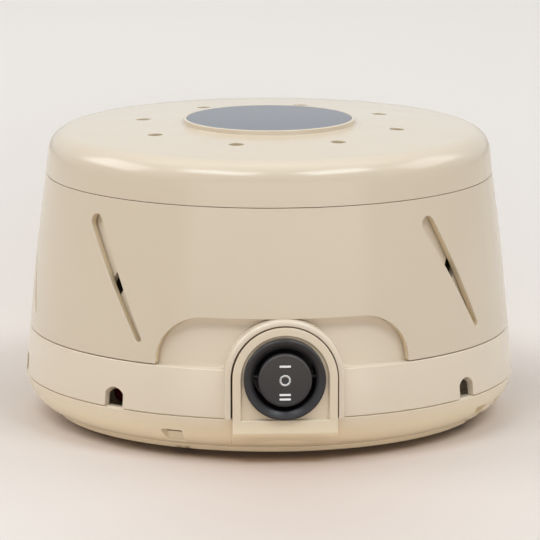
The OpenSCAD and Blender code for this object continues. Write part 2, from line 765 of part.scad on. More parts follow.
module housing_screws() {
    head_h = 2;
    color(steel) for (a = post_azimuths) at_azimuth(a, post_ring_r) {
        difference() {
            translate([0, 0, head_seat_z - head_h]) cylinder(d = head_d, h = head_h);
            // A cross recess.
            for (axis = [0, 1]) rotate([0, 0, axis * 90])
                translate([-head_d / 4, -0.4, head_seat_z - head_h - past])
                    cube([head_d / 2, 0.8, past + head_h / 2]);
        }
        translate([0, 0, head_seat_z]) cylinder(d = screw_d - 0.04, h = ledge_z - head_seat_z);
    }
}

// Flanged bush in the back of the base ring, through which a mains lead enters.
module cord_gland() {
    flange_r = bush_r + 1.5;
    flange_t = 1.5;
    barb_r = bush_r + 0.5;
    barb_t = 0.9;
    back = -wall - 2 * bush_gap - 0.4;
    color(rubber) at_gland() rotate_extrude() polygon([
        [gland_bore_d / 2, back - barb_t], [bush_r, back - barb_t], [barb_r, back - barb_t / 2],
        [barb_r, back], [bush_r - bush_gap, back], [bush_r - bush_gap, bush_gap], [flange_r, bush_gap],
        [flange_r, flange_t - 0.6], [flange_r - 0.6, flange_t], [gland_bore_d / 2, flange_t]]);
}

// ---- switch -----------------------------------------------------------------

module switch_body() {
    round_r = 0.9;
    bezel_r = bezel_d / 2;
    well_r = well_d / 2;
    body_half = switch_d / 2;
    color(black_plastic) facing_front(recess_y, switch_z) {
        difference() {
            union() {
                rotate_extrude() difference() {
                    union() {
                        square([bezel_r - round_r, bezel_h]);
                        square([bezel_r, bezel_h - round_r]);
                        sector([bezel_r - round_r, bezel_h - round_r], round_r, 0, 90);
                        translate([0, -switch_depth]) square([body_half, switch_depth + past]);
                    }
                    translate([0, well_floor_h]) square([well_r, bezel_h - well_floor_h + past]);
                    polygon([[0, bezel_h - 0.9], [well_r, bezel_h - 0.9], [well_r + 0.9, bezel_h],
                        [well_r + 0.9, bezel_h + past], [0, bezel_h + past]]);
                }
                // Wings that catch behind the plate.
                for (side = [0, 180]) rotate([0, 0, side])
                    translate([body_half - 0.4, -2.5, -plate_t - 5.1]) rotate([-90, 0, 0])
                        linear_extrude(5) polygon([[0, 0], [1.5, -4.4], [1.5, -5], [0, -5]]);
            }
            translate([0, 0, pivot_h]) rotate([0, 90, 0])
                cylinder(d = pivot_d + 2 * pivot_gap, h = 2 * bezel_d, center = true);
        }
    }
}

module switch_terminals() {
    color(brass) facing_front(recess_y - switch_depth, switch_z)
        for (row = [-1, 0, 1]) translate([0, row * terminal_pitch, -terminal[2] / 2]) difference() {
            cube(terminal, center = true);
            translate([0, 0, (terminal[0] - terminal[2]) / 2]) rotate([90, 0, 0])
                cylinder(d = 1.8, h = 4 * terminal[1], center = true);
        }
}

module rocker() {
    rocker_r = rocker_d / 2;
    disc_t = 2.2;
    edge = 0.5;
    rim_w = 0.35;
    rim_h = 0.12;
    color(black_plastic) facing_front(recess_y, switch_z) {
        rotate_extrude() difference() {
            union() {
                translate([0, rocker_face - disc_t]) square([rocker_r - edge, disc_t]);
                translate([0, rocker_face - disc_t]) square([rocker_r, disc_t - edge]);
                sector([rocker_r - edge, rocker_face - edge], edge, 0, 90);
            }
            translate([0, rocker_face - rim_h]) square([rocker_r - edge - rim_w, past]);
        }
        translate([-rocker_r * 0.7, -rocker_r * 0.62, pivot_h])
            cube([rocker_r * 1.4, rocker_r * 1.24, rocker_face - disc_t / 2 - pivot_h]);
        translate([0, 0, pivot_h]) rotate([0, 90, 0]) {
            cylinder(r = rocker_r * 0.36, h = rocker_r * 1.4, center = true);
            cylinder(d = pivot_d, h = switch_d - 0.4, center = true);
        }
    }
}

// ---- motor ------------------------------------------------------------------

module motor_screw_places() {
    for (x = [-motor_screw_x, motor_screw_x]) translate([x, 0, 0]) children();
}

// Places of the shading rings: one at each pole's trailing corner.
module ring_places() {
    for (turn = [0, 180]) rotate([0, 0, turn]) translate([bore_r * 0.62, bore_r * 0.92, 0])
        rotate([0, 0, 35]) children();
}

module stator_stack() {
    lamination_notch = 1;
    color(electric_steel) translate([0, 0, stack_z]) difference() {
        linear_extrude(stack_h) difference() {
            union() {
                rounded_rectangle([stack_w, 2 * pole_y], 3);
                for (side = [-1, 1]) translate([side * (stack_w - leg_w) / 2, (pole_y + yoke_y) / 2 - 2])
                    square([leg_w, yoke_y - pole_y + 4], center = true);
            }
            circle(r = bore_r);
            motor_screw_places() circle(d = motor_screw_d + 0.3);
            ring_places() for (x = [0, 5]) translate([x, 0]) square(ring_slot, center = true);
            for (side = [-1, 1]) translate([side * stack_w / 2, 0]) circle(r = lamination_notch);
        }
        // The waist between the poles, closed only by a thin bridge of steel.
        for (side = [-1, 1]) translate([-1.5, side * (bore_r + 2) - (side < 0 ? 0.8 : 0), -past])
            cube([3, 0.8, stack_h + 2 * past]);
    }
}

module coil_core() {
    color(electric_steel) translate([0, coil_y, stack_z]) linear_extrude(stack_h)
        rounded_rectangle([stack_w, yoke_t], 1);
}

module coil_bobbin() {
    flange = [bobbin_t, tube_y + 2 * winding_t + 1, tube_z + 2 * winding_t + 1];
    color(nylon) translate([0, coil_y, coil_z]) difference() {
        union() {
            cube([2 * bobbin_half, tube_y, tube_z], center = true);
            for (side = [-1, 1]) translate([side * (bobbin_half - bobbin_t / 2), 0, 0])
                rotate([0, 90, 0]) linear_extrude(bobbin_t, center = true)
                    rounded_rectangle([flange[2], flange[1]], 2);
        }
        cube([2 * bobbin_half + past, yoke_t + 2 * bobbin_gap, stack_h + 2 * bobbin_gap], center = true);
    }
}

module coil_winding() {
    color(copper) translate([0, coil_y, coil_z]) rotate([0, 90, 0])
        linear_extrude(2 * (bobbin_half - bobbin_t), center = true) difference() {
            rounded_rectangle([tube_z + 2 * winding_t, tube_y + 2 * winding_t], 5);
            square([tube_z, tube_y], center = true);
        }
}

// Copper loops that pass through the stack and close over it and under it.
module shading_rings() {
    over = stack_h / 2 + ring_wire_d / 2;
    color(copper) translate([0, 0, coil_z]) ring_places() {
        for (x = [0, 5]) translate([x, 0, 0]) cube([ring_wire_d, ring_wire_d, 2 * over], center = true);
        for (side = [-1, 1]) translate([2.5, 0, side * over])
            cube([5 + ring_wire_d, ring_wire_d, ring_wire_d], center = true);
    }
}

// A strap bent away from the stack, with a hub for the bearing. Drawn for the
// top of the stack: z = 0 is the stack's face.
module bearing_bracket() {
    half_foot = motor_screw_x + 5;
    bend_x = motor_screw_x - 6;
    flat_x = 9;
    hub_r = bearing_d / 2 + hub_wall;
    top = bracket_t + strap_drop;
    difference() {
        union() {
            translate([0, strap_w / 2, 0]) rotate([90, 0, 0]) linear_extrude(strap_w)
                polygon([[-half_foot, 0], [-bend_x, 0], [-flat_x, top - bracket_t], [flat_x, top - bracket_t],
                    [bend_x, 0], [half_foot, 0], [half_foot, bracket_t], [bend_x + 0.8, bracket_t],
                    [flat_x + 0.8, top], [-flat_x - 0.8, top], [-bend_x - 0.8, bracket_t],
                    [-half_foot, bracket_t]]);
            translate([0, 0, top - bracket_t]) cylinder(r = hub_r, h = bearing_h);
        }
        translate([0, 0, -past]) cylinder(d = bearing_d, h = top + bearing_h + 2 * past);
        motor_screw_places() translate([0, 0, -past])
            cylinder(d = motor_screw_d + 0.3, h = bracket_t + 2 * past);
    }
}

module upper_bracket() {
    color(aluminium) translate([0, 0, stack_top_z]) bearing_bracket();
}

module lower_bracket() {
    color(aluminium) translate([0, 0, stack_z]) mirror([0, 0, 1]) bearing_bracket();
}

module bearing() {
    difference() {
        cylinder(d = bearing_d, h = bearing_h);
        translate([0, 0, -past]) cylinder(r = shaft_d / 2 + shaft_gap, h = bearing_h + 2 * past);
    }
}

module upper_bearing() {
    color(bronze) translate([0, 0, high_bearing_z]) bearing();
}

module lower_bearing() {
    color(bronze) translate([0, 0, low_bearing_z]) bearing();
}

// Long screws that clamp plate, standoffs, brackets and stack together.
module motor_screws() {
    head_h = 2.4;
    color(steel) motor_screw_places() {
        translate([0, 0, motor_plate_z - 3.4])
            cylinder(d = motor_screw_d, h = stack_top_z + bracket_t - motor_plate_z + 3.4);
        difference() {
            translate([0, 0, stack_top_z + bracket_t]) cylinder(d = 1.9 * motor_screw_d, h = head_h);
            translate([-motor_screw_d, -0.5, stack_top_z + bracket_t + head_h / 2])
                cube([2 * motor_screw_d, 1, head_h]);
        }
    }
}

module motor_nuts() {
    nut_h = 2.6;
    color(steel) motor_screw_places() translate([0, 0, motor_plate_z - nut_h]) difference() {
        cylinder(d = 2 * motor_screw_d, h = nut_h, $fn = 6);
        translate([0, 0, -past]) cylinder(d = motor_screw_d, h = nut_h + 2 * past);
    }
}

module standoffs() {
    color(aluminium) motor_screw_places() translate([0, 0, motor_plate_top_z]) difference() {
        cylinder(d = motor_screw_d + 3.4, h = foot_z - motor_plate_top_z);
        translate([0, 0, -past]) cylinder(d = motor_screw_d + 0.3, h = foot_z);
    }
}

module mount_places() {
    for (x = [-1, 1], y = [-1, 1]) translate([x * mount_x, y * mount_y, 0]) children();
}

module motor_plate() {
    hub_hole_r = bearing_d / 2 + hub_wall + 2;
    edge = mount_flange_r + 1;
    color(steel) translate([0, 0, motor_plate_z]) linear_extrude(motor_plate_t) difference() {
        rounded_rectangle([2 * (mount_x + edge), 2 * (mount_y + edge)], 5);
        circle(r = hub_hole_r);
        motor_screw_places() circle(d = motor_screw_d + 0.3);
        mount_places() circle(r = mount_neck_r);
    }
}

// Rubber grommets between the plate and the pan's pins.
module rubber_mounts() {
    color(rubber) mount_places() rotate_extrude() polygon([
        [mount_pin_r, mount_post_z], [mount_flange_r, mount_post_z], [mount_flange_r, motor_plate_z],
        [mount_neck_r, motor_plate_z], [mount_neck_r, motor_plate_top_z],
        [mount_flange_r, motor_plate_top_z], [mount_flange_r - 0.5, mount_top_z],
        [mount_pin_r, mount_top_z]]);
}

module mount_nuts() {
    color(steel) mount_places() translate([0, 0, mount_top_z]) difference() {
        cylinder(r = mount_pin_r + 2, h = 0.8);
        translate([0, 0, -past]) cylinder(r = mount_pin_r, h = 3 * past);
    }
}

// ---- rotor and fan ------------------------------------------------------------

module rotor() {
    core_r = rotor_d / 2;
    shaft_r = shaft_d / 2;
    low_z = low_bearing_z + bearing_h + washer_t + 2 * washer_float;
    high_z = high_bearing_z - washer_t - 2 * washer_float;
    color(electric_steel) rotate_extrude() polygon([
        [shaft_r, low_z], [shaft_r + 1.5, low_z], [shaft_r + 1.5, stack_z - rotor_ring_h],
        [core_r - 0.8, stack_z - rotor_ring_h], [core_r - 0.8, stack_z], [core_r, stack_z],
        [core_r, stack_top_z], [core_r - 0.8, stack_top_z], [core_r - 0.8, stack_top_z + rotor_ring_h],
        [shaft_r + 1.5, stack_top_z + rotor_ring_h], [shaft_r + 1.5, high_z], [shaft_r, high_z]]);
}

module shaft() {
    chamfer = 0.5;
    r = shaft_d / 2;
    color(steel) rotate_extrude() polygon([
        [0, shaft_bottom_z], [r - chamfer, shaft_bottom_z], [r, shaft_bottom_z + chamfer],
        [r, shaft_top_z - chamfer], [r - chamfer, shaft_top_z], [0, shaft_top_z]]);
}

module thrust_washers() {
    color(nylon) for (z = [low_bearing_z + bearing_h + washer_float,
            high_bearing_z - washer_float - washer_t])
        translate([0, 0, z]) difference() {
            cylinder(r = shaft_d / 2 + 2, h = washer_t);
            translate([0, 0, -past]) cylinder(d = shaft_d, h = washer_t + 2 * past);
        }
}

// One backward-curved blade, an arc that crosses the ring between eye and rim.
module blade_outline() {
    bend_r = 30;
    intersection() {
        translate([26, -26]) difference() {
            circle(r = bend_r);
            circle(r = bend_r - blade_t);
        }
        difference() {
            circle(r = fan_d / 2 - 0.6);
            circle(r = fan_eye_r);
        }
        polygon([[0, 0], [fan_d, -fan_d], [fan_d, fan_d], [0, fan_d]]);
    }
}

module fan() {
    rim_w = 6;
    rim_t = 1.4;
    color(nylon) {
        difference() {
            union() {
                translate([0, 0, fan_z]) cylinder(d = fan_d, h = fan_plate_t);
                translate([0, 0, fan_z - fan_hub_drop])
                    cylinder(r = fan_hub_r, h = fan_top_z - fan_z + fan_hub_drop);
                translate([0, 0, fan_z + fan_plate_t]) cylinder(r1 = 2 * fan_hub_r, r2 = fan_hub_r, h = 4);
            }
            translate([0, 0, fan_z - 2 * fan_hub_drop]) cylinder(d = shaft_d, h = fan_top_z);
        }
        translate([0, 0, fan_z + fan_plate_t]) linear_extrude(blade_h)
            for (i = [0 : blade_count - 1]) let (even = i * 360 / blade_count)
                rotate([0, 0, even + blade_stagger * sin(2 * even)]) blade_outline();
        translate([0, 0, fan_top_z - rim_t]) difference() {
            cylinder(d = fan_d, h = rim_t);
            translate([0, 0, -past]) cylinder(r = fan_d / 2 - rim_w, h = rim_t + 2 * past);
        }
    }
}

// Spring ring that grips the top of the fan's hub on the shaft.
module fan_clip() {
    wire = 1.4;
    color(steel) translate([0, 0, fan_top_z - 4]) rotate([0, 0, 100])
        rotate_extrude(angle = 320) translate([fan_hub_r + wire / 2, 0]) circle(d = wire, $fn = 32);
}

// ---- leads --------------------------------------------------------------------

module lead_red() {
    color("firebrick") tube_along(route_red, lead_d);
}

module lead_black() {
    color(black_plastic) tube_along(route_black, lead_d);
}

module lead_white() {
    color("white") tube_along(route_white, lead_d);
}

// Closed-end connector that joins two leads, lying in the pan's saddle.
module lead_splice() {
    color("firebrick") translate(splice_at) rotate([-90, 0, 0]) translate([0, 0, -splice_l / 2])
        rotate_extrude() {
            translate([0, splice_d / 2]) square([splice_d / 2, splice_l - splice_d / 2 - 0.8]);
            sector([0, splice_d / 2], splice_d / 2, -90, 0);
            translate([0, splice_l - 2]) square([splice_d / 2 + 0.5, 1.2]);
        }
}

cap();
badge();
collar();
upper_housing();
bottom_pan();
rubber_feet();
housing_screws();
cord_gland();
switch_body();
switch_terminals();
rocker();
stator_stack();
coil_core();
coil_bobbin();
coil_winding();
shading_rings();
upper_bracket();
lower_bracket();
upper_bearing();
lower_bearing();
motor_screws();
motor_nuts();
standoffs();
motor_plate();
rubber_mounts();
mount_nuts();
rotor();
shaft();
thrust_washers();
fan();
fan_clip();
lead_red();
lead_black();
lead_white();
lead_splice();
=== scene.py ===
# %% [markdown]
# # A fan-type sound machine in a pale studio
#
# The object is a small drum of cream plastic: a pan, a base ring, a slotted collar and
# a crowned cap. A motor and a fan stand inside. Cap and collar turn, and so open and
# close the holes through which the fan blows.
#
# The lesson dresses a finished frame. The frame brings exact solids for every piece.
# What it lacks is what the eye looks for in a picture: rounded edges that catch the
# light, printed marks, and finishes with grain. They are made here, as surfaces
# computed with numpy and as node materials written like arithmetic.

# %% Load the frame
from math import acos, asin, atan2, ceil, copysign, cos, degrees, hypot, pi, radians, sin, sqrt, tan

import bpy
import numpy as np
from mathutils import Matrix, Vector
from mathutils.geometry import delaunay_2d_cdt


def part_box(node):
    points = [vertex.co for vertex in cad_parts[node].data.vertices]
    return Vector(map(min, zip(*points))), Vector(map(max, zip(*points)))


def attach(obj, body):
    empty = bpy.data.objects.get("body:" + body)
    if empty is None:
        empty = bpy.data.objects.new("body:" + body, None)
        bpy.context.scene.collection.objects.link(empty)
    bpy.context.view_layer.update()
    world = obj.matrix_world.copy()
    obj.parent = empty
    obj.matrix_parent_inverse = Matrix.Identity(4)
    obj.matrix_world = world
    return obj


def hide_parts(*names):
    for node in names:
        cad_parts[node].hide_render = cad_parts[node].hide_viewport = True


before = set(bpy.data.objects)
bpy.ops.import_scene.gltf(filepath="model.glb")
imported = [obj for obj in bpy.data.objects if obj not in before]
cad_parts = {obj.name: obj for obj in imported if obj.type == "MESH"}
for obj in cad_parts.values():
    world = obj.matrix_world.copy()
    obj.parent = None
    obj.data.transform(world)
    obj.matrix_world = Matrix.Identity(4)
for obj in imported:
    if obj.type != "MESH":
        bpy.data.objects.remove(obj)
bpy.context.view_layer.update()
MM = 0.001


def span(node):
    """Lowest and highest corner of a node of the frame, in millimetres."""
    return [np.array(corner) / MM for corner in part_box(node)]


print("nodes in the frame:", len(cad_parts))

# %% [markdown]
# ## Camera
#
# A long lens stands 1.2 m away and looks down by eleven degrees, so the rims show as
# flat ellipses. The object's front is turned a little to the right of the lens.
# It is easiest to place a camera by its azimuth round the object and its height, and
# to turn it with the same two angles.

# %% Place the camera
def in_scene(name, data, place=(0, 0, 0), turn=(0, 0, 0)):
    """A new object for some data, at a place in metres and turned by angles, in the scene."""
    thing = bpy.data.objects.new(name, data)
    thing.location, thing.rotation_euler = place, turn
    bpy.context.scene.collection.objects.link(thing)
    return thing


camera_azimuth = radians(-3.5)
camera_reach = 1.2
camera_side = 0.00025
camera_height = 0.27434
camera_pitch = 0.190645
lens = bpy.data.cameras.new("studio_camera")
lens.lens = 271.57
lens.clip_end = 50
camera = in_scene("studio_camera", lens, turn=(pi / 2 - camera_pitch, 0, camera_azimuth), place=(
    camera_reach * sin(camera_azimuth) + camera_side * cos(camera_azimuth),
    -camera_reach * cos(camera_azimuth) + camera_side * sin(camera_azimuth),
    camera_height))
bpy.context.scene.camera = camera
print("camera at", [round(c, 3) for c in camera.location])

# %% [markdown]
# ## Surfaces as arrays
#
# Every new piece is a mesh of points worked out with numpy. One helper turns arrays of
# points, faces and normals into an object. The normals come from the formula of the
# surface and not from its triangles, so a wall that is pierced by slots still shades as
# one smooth wall.

# %% A mesh from arrays
def make_piece(name, body, node, part, finish):
    """An object from points in millimetres, faces as index lists and one normal a point. It rides on
    a body, stands for a node of the frame and wears a finish in a slot of its own."""
    points, faces, normals = part
    mesh = bpy.data.meshes.new(name)
    mesh.from_pydata((np.asarray(points, float) * MM).tolist(), [], faces)
    mesh.polygons.foreach_set("use_smooth", [True] * len(mesh.polygons))
    mesh.normals_split_custom_set_from_vertices(np.asarray(normals, float).tolist())
    mesh.update()
    piece = in_scene(name, mesh)
    if node:
        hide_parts(node)
    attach(piece, body)
    wear(piece, finish)
    print(name, "triangles:", sum(len(p.vertices) - 2 for p in mesh.polygons))


def joined(*parts):
    """Several (points, faces, normals) as one, with the faces' indexes moved along."""
    points, faces, normals, base = [], [], [], 0
    for p, f, n in parts:
        points.append(p)
        normals.append(n)
        faces += [[i + base for i in face] for face in f]
        base += len(p)
    return np.vstack(points), faces, np.vstack(normals)


# %% [markdown]
# ### Profiles
#
# Nearly everything on this object is turned about one axis, so a shape starts as a
# profile: a line in radius and height. Its corners are rounded with small arcs, because
# moulded plastic has no sharp edge, and those arcs are what catches the light.

# %% Rounded profiles
def rounded(corners, step=12):
    """A line through corners (r, z, fillet), or (r, z) for a sharp one. A fillet is an arc tangent
    to both legs, which starts fillet / tan(half the corner's angle) before the corner. It is cut
    into steps in degrees."""
    line = []
    for i, (*here, fillet) in enumerate((*corner, 0)[:3] for corner in corners):
        here = np.array(here, float)
        if not fillet:
            line.append(here)
            continue
        legs = [np.array(corners[k][:2], float) - here for k in (i - 1, i + 1)]
        legs = [leg / np.hypot(*leg) for leg in legs]
        half = acos(np.clip(legs[0] @ legs[1], -1, 1)) / 2
        middle = (legs[0] + legs[1]) / np.hypot(*(legs[0] + legs[1]))
        centre = here + middle * fillet / sin(half)
        first, last = (atan2(*(here + leg * fillet / tan(half) - centre)[::-1]) for leg in legs)
        turn = (last - first + pi) % (2 * pi) - pi
        count = max(2, ceil(abs(degrees(turn)) / step))
        angles = first + turn * np.arange(count + 1) / count
        line += list(centre + fillet * np.c_[np.cos(angles), np.sin(angles)])
    return np.array(line)


def loop(corners, step=12):
    """A closed line through such corners, of which the first is sharp."""
    return rounded([*corners, corners[0]], step)[:-1]


def arc(centre, radius, start, end, count=12):
    """Points on a circle between two directions in degrees."""
    t = np.radians(np.linspace(start, end, count))
    return np.c_[centre[0] + radius * np.cos(t), centre[1] + radius * np.sin(t)]


# %% Walking a line
def step_lengths(line):
    """The distance from each point of a line to the next."""
    return np.hypot(*np.diff(line, axis=0).T)


def distinct(line, least=1e-6):
    """A mask of the points that don't repeat the one before them."""
    return np.r_[True, step_lengths(line) > least]


def walked(line):
    """The length walked along a line up to each of its points: the sum of the steps."""
    return np.r_[0, np.cumsum(step_lengths(line))]


def travel_along(line, walk):
    """Unit direction of travel at each point of a line: the mean of the steps before and after it."""
    way = np.gradient(line, walk, axis=0)
    return way / np.maximum(np.hypot(*way.T), 1e-9)[:, None]


def travel_round(line):
    """The same for a closed line: from the point before to the point after."""
    way = np.roll(line, -1, 0) - np.roll(line, 1, 0)
    return way / np.hypot(*way.T)[:, None]


def between(walk, line, s):
    """What a line says at walked lengths s: straight between its own points."""
    return np.array([np.interp(s, walk, line[:, k]) for k in (0, 1)]).T


# %% Turning a profile
def wound(u, r, z):
    """Where (r, z) gets to at an azimuth u, which starts at the front: (r sin u, -r cos u, z)."""
    return np.c_[r * np.sin(u), -r * np.cos(u), z + 0 * u]


def turned(line, count=96, closed=False):
    """A surface of revolution. Its outer side lies to the left of the profile's travel. A profile
    point on the axis stays one point."""
    line = np.asarray(line, float)
    if closed:
        line = np.vstack([line, line[:1]])
    line = line[distinct(line)]
    way = travel_along(line, walked(line))
    if closed:
        way[0] = way[0] + way[-1]
        way[0] /= np.hypot(*way[0])
        line, way = line[:-1], way[:-1]
    points, normals, index = [], [], []
    u = 2 * pi * np.arange(count) / count
    for (r, z), (along_r, along_z) in zip(line, way):
        if r < 1e-6:
            index.append(np.full(count, len(points)))
            points.append((0, 0, z))
            normals.append((0, 0, copysign(1, along_r)))
        else:
            index.append(len(points) + np.arange(count))
            points += wound(u, r, z).tolist()
            normals += wound(u, -along_z, along_r).tolist()
    faces = []
    for a, b in zip(index, index[1:] + index[:closed]):
        quads = np.c_[a, b, np.roll(b, -1), np.roll(a, -1)]
        faces += [list(dict.fromkeys(quad)) for quad in quads.tolist()]
    return np.array(points), faces, np.array(normals)


def lathe(corners, count, step=12):
    """A solid of revolution: its profile leaves and meets the axis level with its end corners."""
    return turned(rounded([(0, corners[0][1]), *corners, (0, corners[-1][1])], step), count)


# %% [markdown]
# ### Pierced sheets
#
# Collar, cap, housing, pan and switch plate are thin walls with openings. Booleans would
# cut them, but leave ragged shading and sharp edges. Here a wall starts as a flat drawing
# instead. A round wall is unrolled into a flat ring: azimuth stays an angle, and the
# length walked along the profile becomes the distance from the middle. In the drawing an
# opening is a closed line. The drawing is filled with triangles that respect those
# lines, and put into space twice, for the outer and the inner face. Along each line a
# rounded lip joins the two. A sheet is the object that knows the way from the drawing
# into space.

# %% A round sheet
FINE = 0.45
ROW = 2.2


class RoundSheet:
    """Azimuth u and walked length s, rolled up round the Z axis. Radius and height come from the
    outer or the inner line, which match point by point."""

    def __init__(self, outer, inner, core=0.0, ends_on_axis=False):
        keep = distinct(outer)
        self.lines = (np.asarray(outer, float)[keep], np.asarray(inner, float)[keep])
        self.walk = walked(self.lines[0])
        self.length = self.walk[-1]
        self.ways = [travel_along(line, self.walk) for line in self.lines]
        self.core, self.ends_on_axis = core, ends_on_axis

    def line(self, s, face=0):
        """Radius and height at a walked length, on the outer (0) or the inner (1) face."""
        return between(self.walk, self.lines[face], s).T

    def find(self, value, axis):
        """The walked length at which the radius (0) or the height (1) takes a value."""
        line = self.lines[0][:, axis]
        order = np.argsort(line, kind="stable")
        return np.interp(value, line[order], self.walk[order])

    def place(self, us, face):
        return wound(us[:, 0], *self.line(us[:, 1], face))

    def axes(self, us, face=0):
        """Unit vectors at points of the drawing: round the wall, along the profile, out of the wall."""
        u = us[:, 0]
        way = between(self.walk, self.ways[face], us[:, 1])
        way /= np.maximum(np.hypot(*way.T), 1e-9)[:, None]
        east = np.c_[np.cos(u), np.sin(u), 0 * u]
        south = wound(u, *way.T)
        return east, south, np.cross(south, east)

    def shifted(self, us, step):
        """Points of the drawing, moved by vectors that lie on the wall."""
        east, south, _ = self.axes(us)
        r = np.maximum(self.line(us[:, 1])[0], 1e-3)
        return us + np.c_[np.sum(step * east, axis=1) / r, np.sum(step * south, axis=1)]

    def flat(self, us):
        out = self.core + (self.length - us[:, 1] if self.ends_on_axis else us[:, 1])
        return wound(us[:, 0], out, 0)[:, :2]

    def grid(self, columns=144):
        """Points inside the drawing: rows through every point of the profile, and enough between."""
        even = np.linspace(0, self.length, int(self.length / ROW) + 1)
        rows = np.unique(np.r_[even, self.walk].round(4))
        rows = rows[(rows > 0.5) & (rows < self.length - (8 if self.ends_on_axis else 0.5))]
        u = 2 * pi * (np.arange(columns) + 0.5) / columns
        points = np.stack(np.meshgrid(u, rows), -1).reshape(-1, 2)
        if self.ends_on_axis:
            return np.vstack([points, [[0, self.length]]])
        return points if self.core else np.vstack([points, [[0, 0]]])

    def ring(self, s, count=360):
        u = 2 * pi * np.arange(count) / count
        return np.c_[u, s + 0 * u]

    def pressed(self, xz, azimuth):
        """A line drawn in a plane and pressed straight onto the wall: u = asin(x / r)."""
        s = self.find(xz[:, 1], 1)
        return np.c_[azimuth + np.arcsin(xz[:, 0] / self.line(s)[0]), s]


# %% A flat sheet
class FlatSheet:
    """A plate that looks along -Y: (a, b) goes to x = a, z = b, with its front at a distance y."""

    def __init__(self, y, thickness):
        self.y, self.thickness = y, thickness

    def place(self, ab, face):
        return np.c_[ab[:, 0], np.full(len(ab), -self.y + face * self.thickness), ab[:, 1]]

    def axes(self, ab, face=0):
        return [np.tile(axis, (len(ab), 1)) for axis in ((1.0, 0, 0), (0, 0, -1.0), (0, -1.0, 0))]

    def shifted(self, ab, step):
        return ab + step[:, [0, 2]]

    def flat(self, ab):
        return ab

    def grid(self):
        return np.zeros((0, 2))


# %% Filling the flat drawing
BATCH = 2000


def inside_lines(xy, lines):
    """Even-odd rule: a point is in the material if a ray from it crosses the lines an odd number
    of times. The points are tried in batches, which spares memory."""
    odd = np.zeros(len(xy), bool)
    for line in lines:
        a, b = line, np.roll(line, -1, axis=0)
        rise = np.where(b[:, 1] == a[:, 1], 1, b[:, 1] - a[:, 1])
        for start in range(0, len(xy), BATCH):
            p = xy[start:start + BATCH, None, :]
            spans = (a[:, 1] > p[..., 1]) != (b[:, 1] > p[..., 1])
            cross = a[:, 0] + (p[..., 1] - a[:, 1]) / rise * (b[:, 0] - a[:, 0])
            odd[start:start + BATCH] ^= (np.sum(spans & (p[..., 0] < cross), axis=1) % 2).astype(bool)
    return odd


def clear_of(xy, lines, room):
    """Which points keep some room from every point of the lines."""
    every = np.vstack(lines)
    near = [np.min(np.sum((xy[i:i + BATCH, None, :] - every) ** 2, -1), axis=1)
            for i in range(0, len(xy), BATCH)]
    return np.concatenate(near + [[]]) > room ** 2


def filled(lines, inner_points=np.zeros((0, 2))):
    """Triangles between closed lines, through all their points and the points inside."""
    xy = np.vstack(lines + [inner_points])
    edges, base = [], 0
    for line in lines:
        edges += [(base + i, base + (i + 1) % len(line)) for i in range(len(line))]
        base += len(line)
    out = delaunay_2d_cdt([Vector(p) for p in xy.tolist()], edges, [], 0, 1e-7)
    back = np.array([o[0] if o else -1 for o in out[3]])
    triangles = back[np.array(out[2])]
    triangles = triangles[(triangles >= 0).all(axis=1)]
    return triangles[inside_lines(xy[triangles].mean(axis=1), lines)]


# %% The edge of an opening
def unit(vectors):
    return vectors / np.maximum(np.linalg.norm(vectors, axis=1), 1e-12)[:, None]


def edge_of(sheet, opening, lines, radius):
    """What a lip starts from: the opening's line on both faces, the unit steps from it into the
    material, their lengthening at corners, the wall's normals, and which way the line runs."""
    p, q = sheet.place(opening, 0), sheet.place(opening, 1)
    normal = sheet.axes(opening)[2]
    tangent = unit(np.roll(p, -1, 0) - np.roll(p, 1, 0))
    away = unit(np.cross(normal, tangent))
    mitre = 1 / np.clip(np.sum(unit(p - np.roll(p, 1, 0)) * tangent, axis=1), 0.6, 1)[:, None]
    probe = sheet.flat(sheet.shifted(opening, 0.6 * radius * away * mitre))
    leftward = inside_lines(probe, lines).mean() >= 0.5
    return p, q, away if leftward else -away, mitre, normal, leftward, radius


def lip_rings(p, q, away, mitre, normal, leftward, radius, steps=3):
    """Points and normals along a lip. On each face it is a quarter circle: after a bend t the line
    lies radius (1 - sin t) away from the opening and radius (1 - cos t) deep."""
    down = unit(q - p)
    bends = [k * pi / 2 / steps for k in range(1, steps + 1)]
    for start, side, bend in [(p, 1, b) for b in bends] + [(q, -1, b) for b in reversed(bends)]:
        aside, deep = radius * (1 - sin(bend)), radius * (1 - cos(bend))
        yield (start + away * mitre * aside + down * side * deep,
               side * normal * cos(bend) - away * sin(bend))


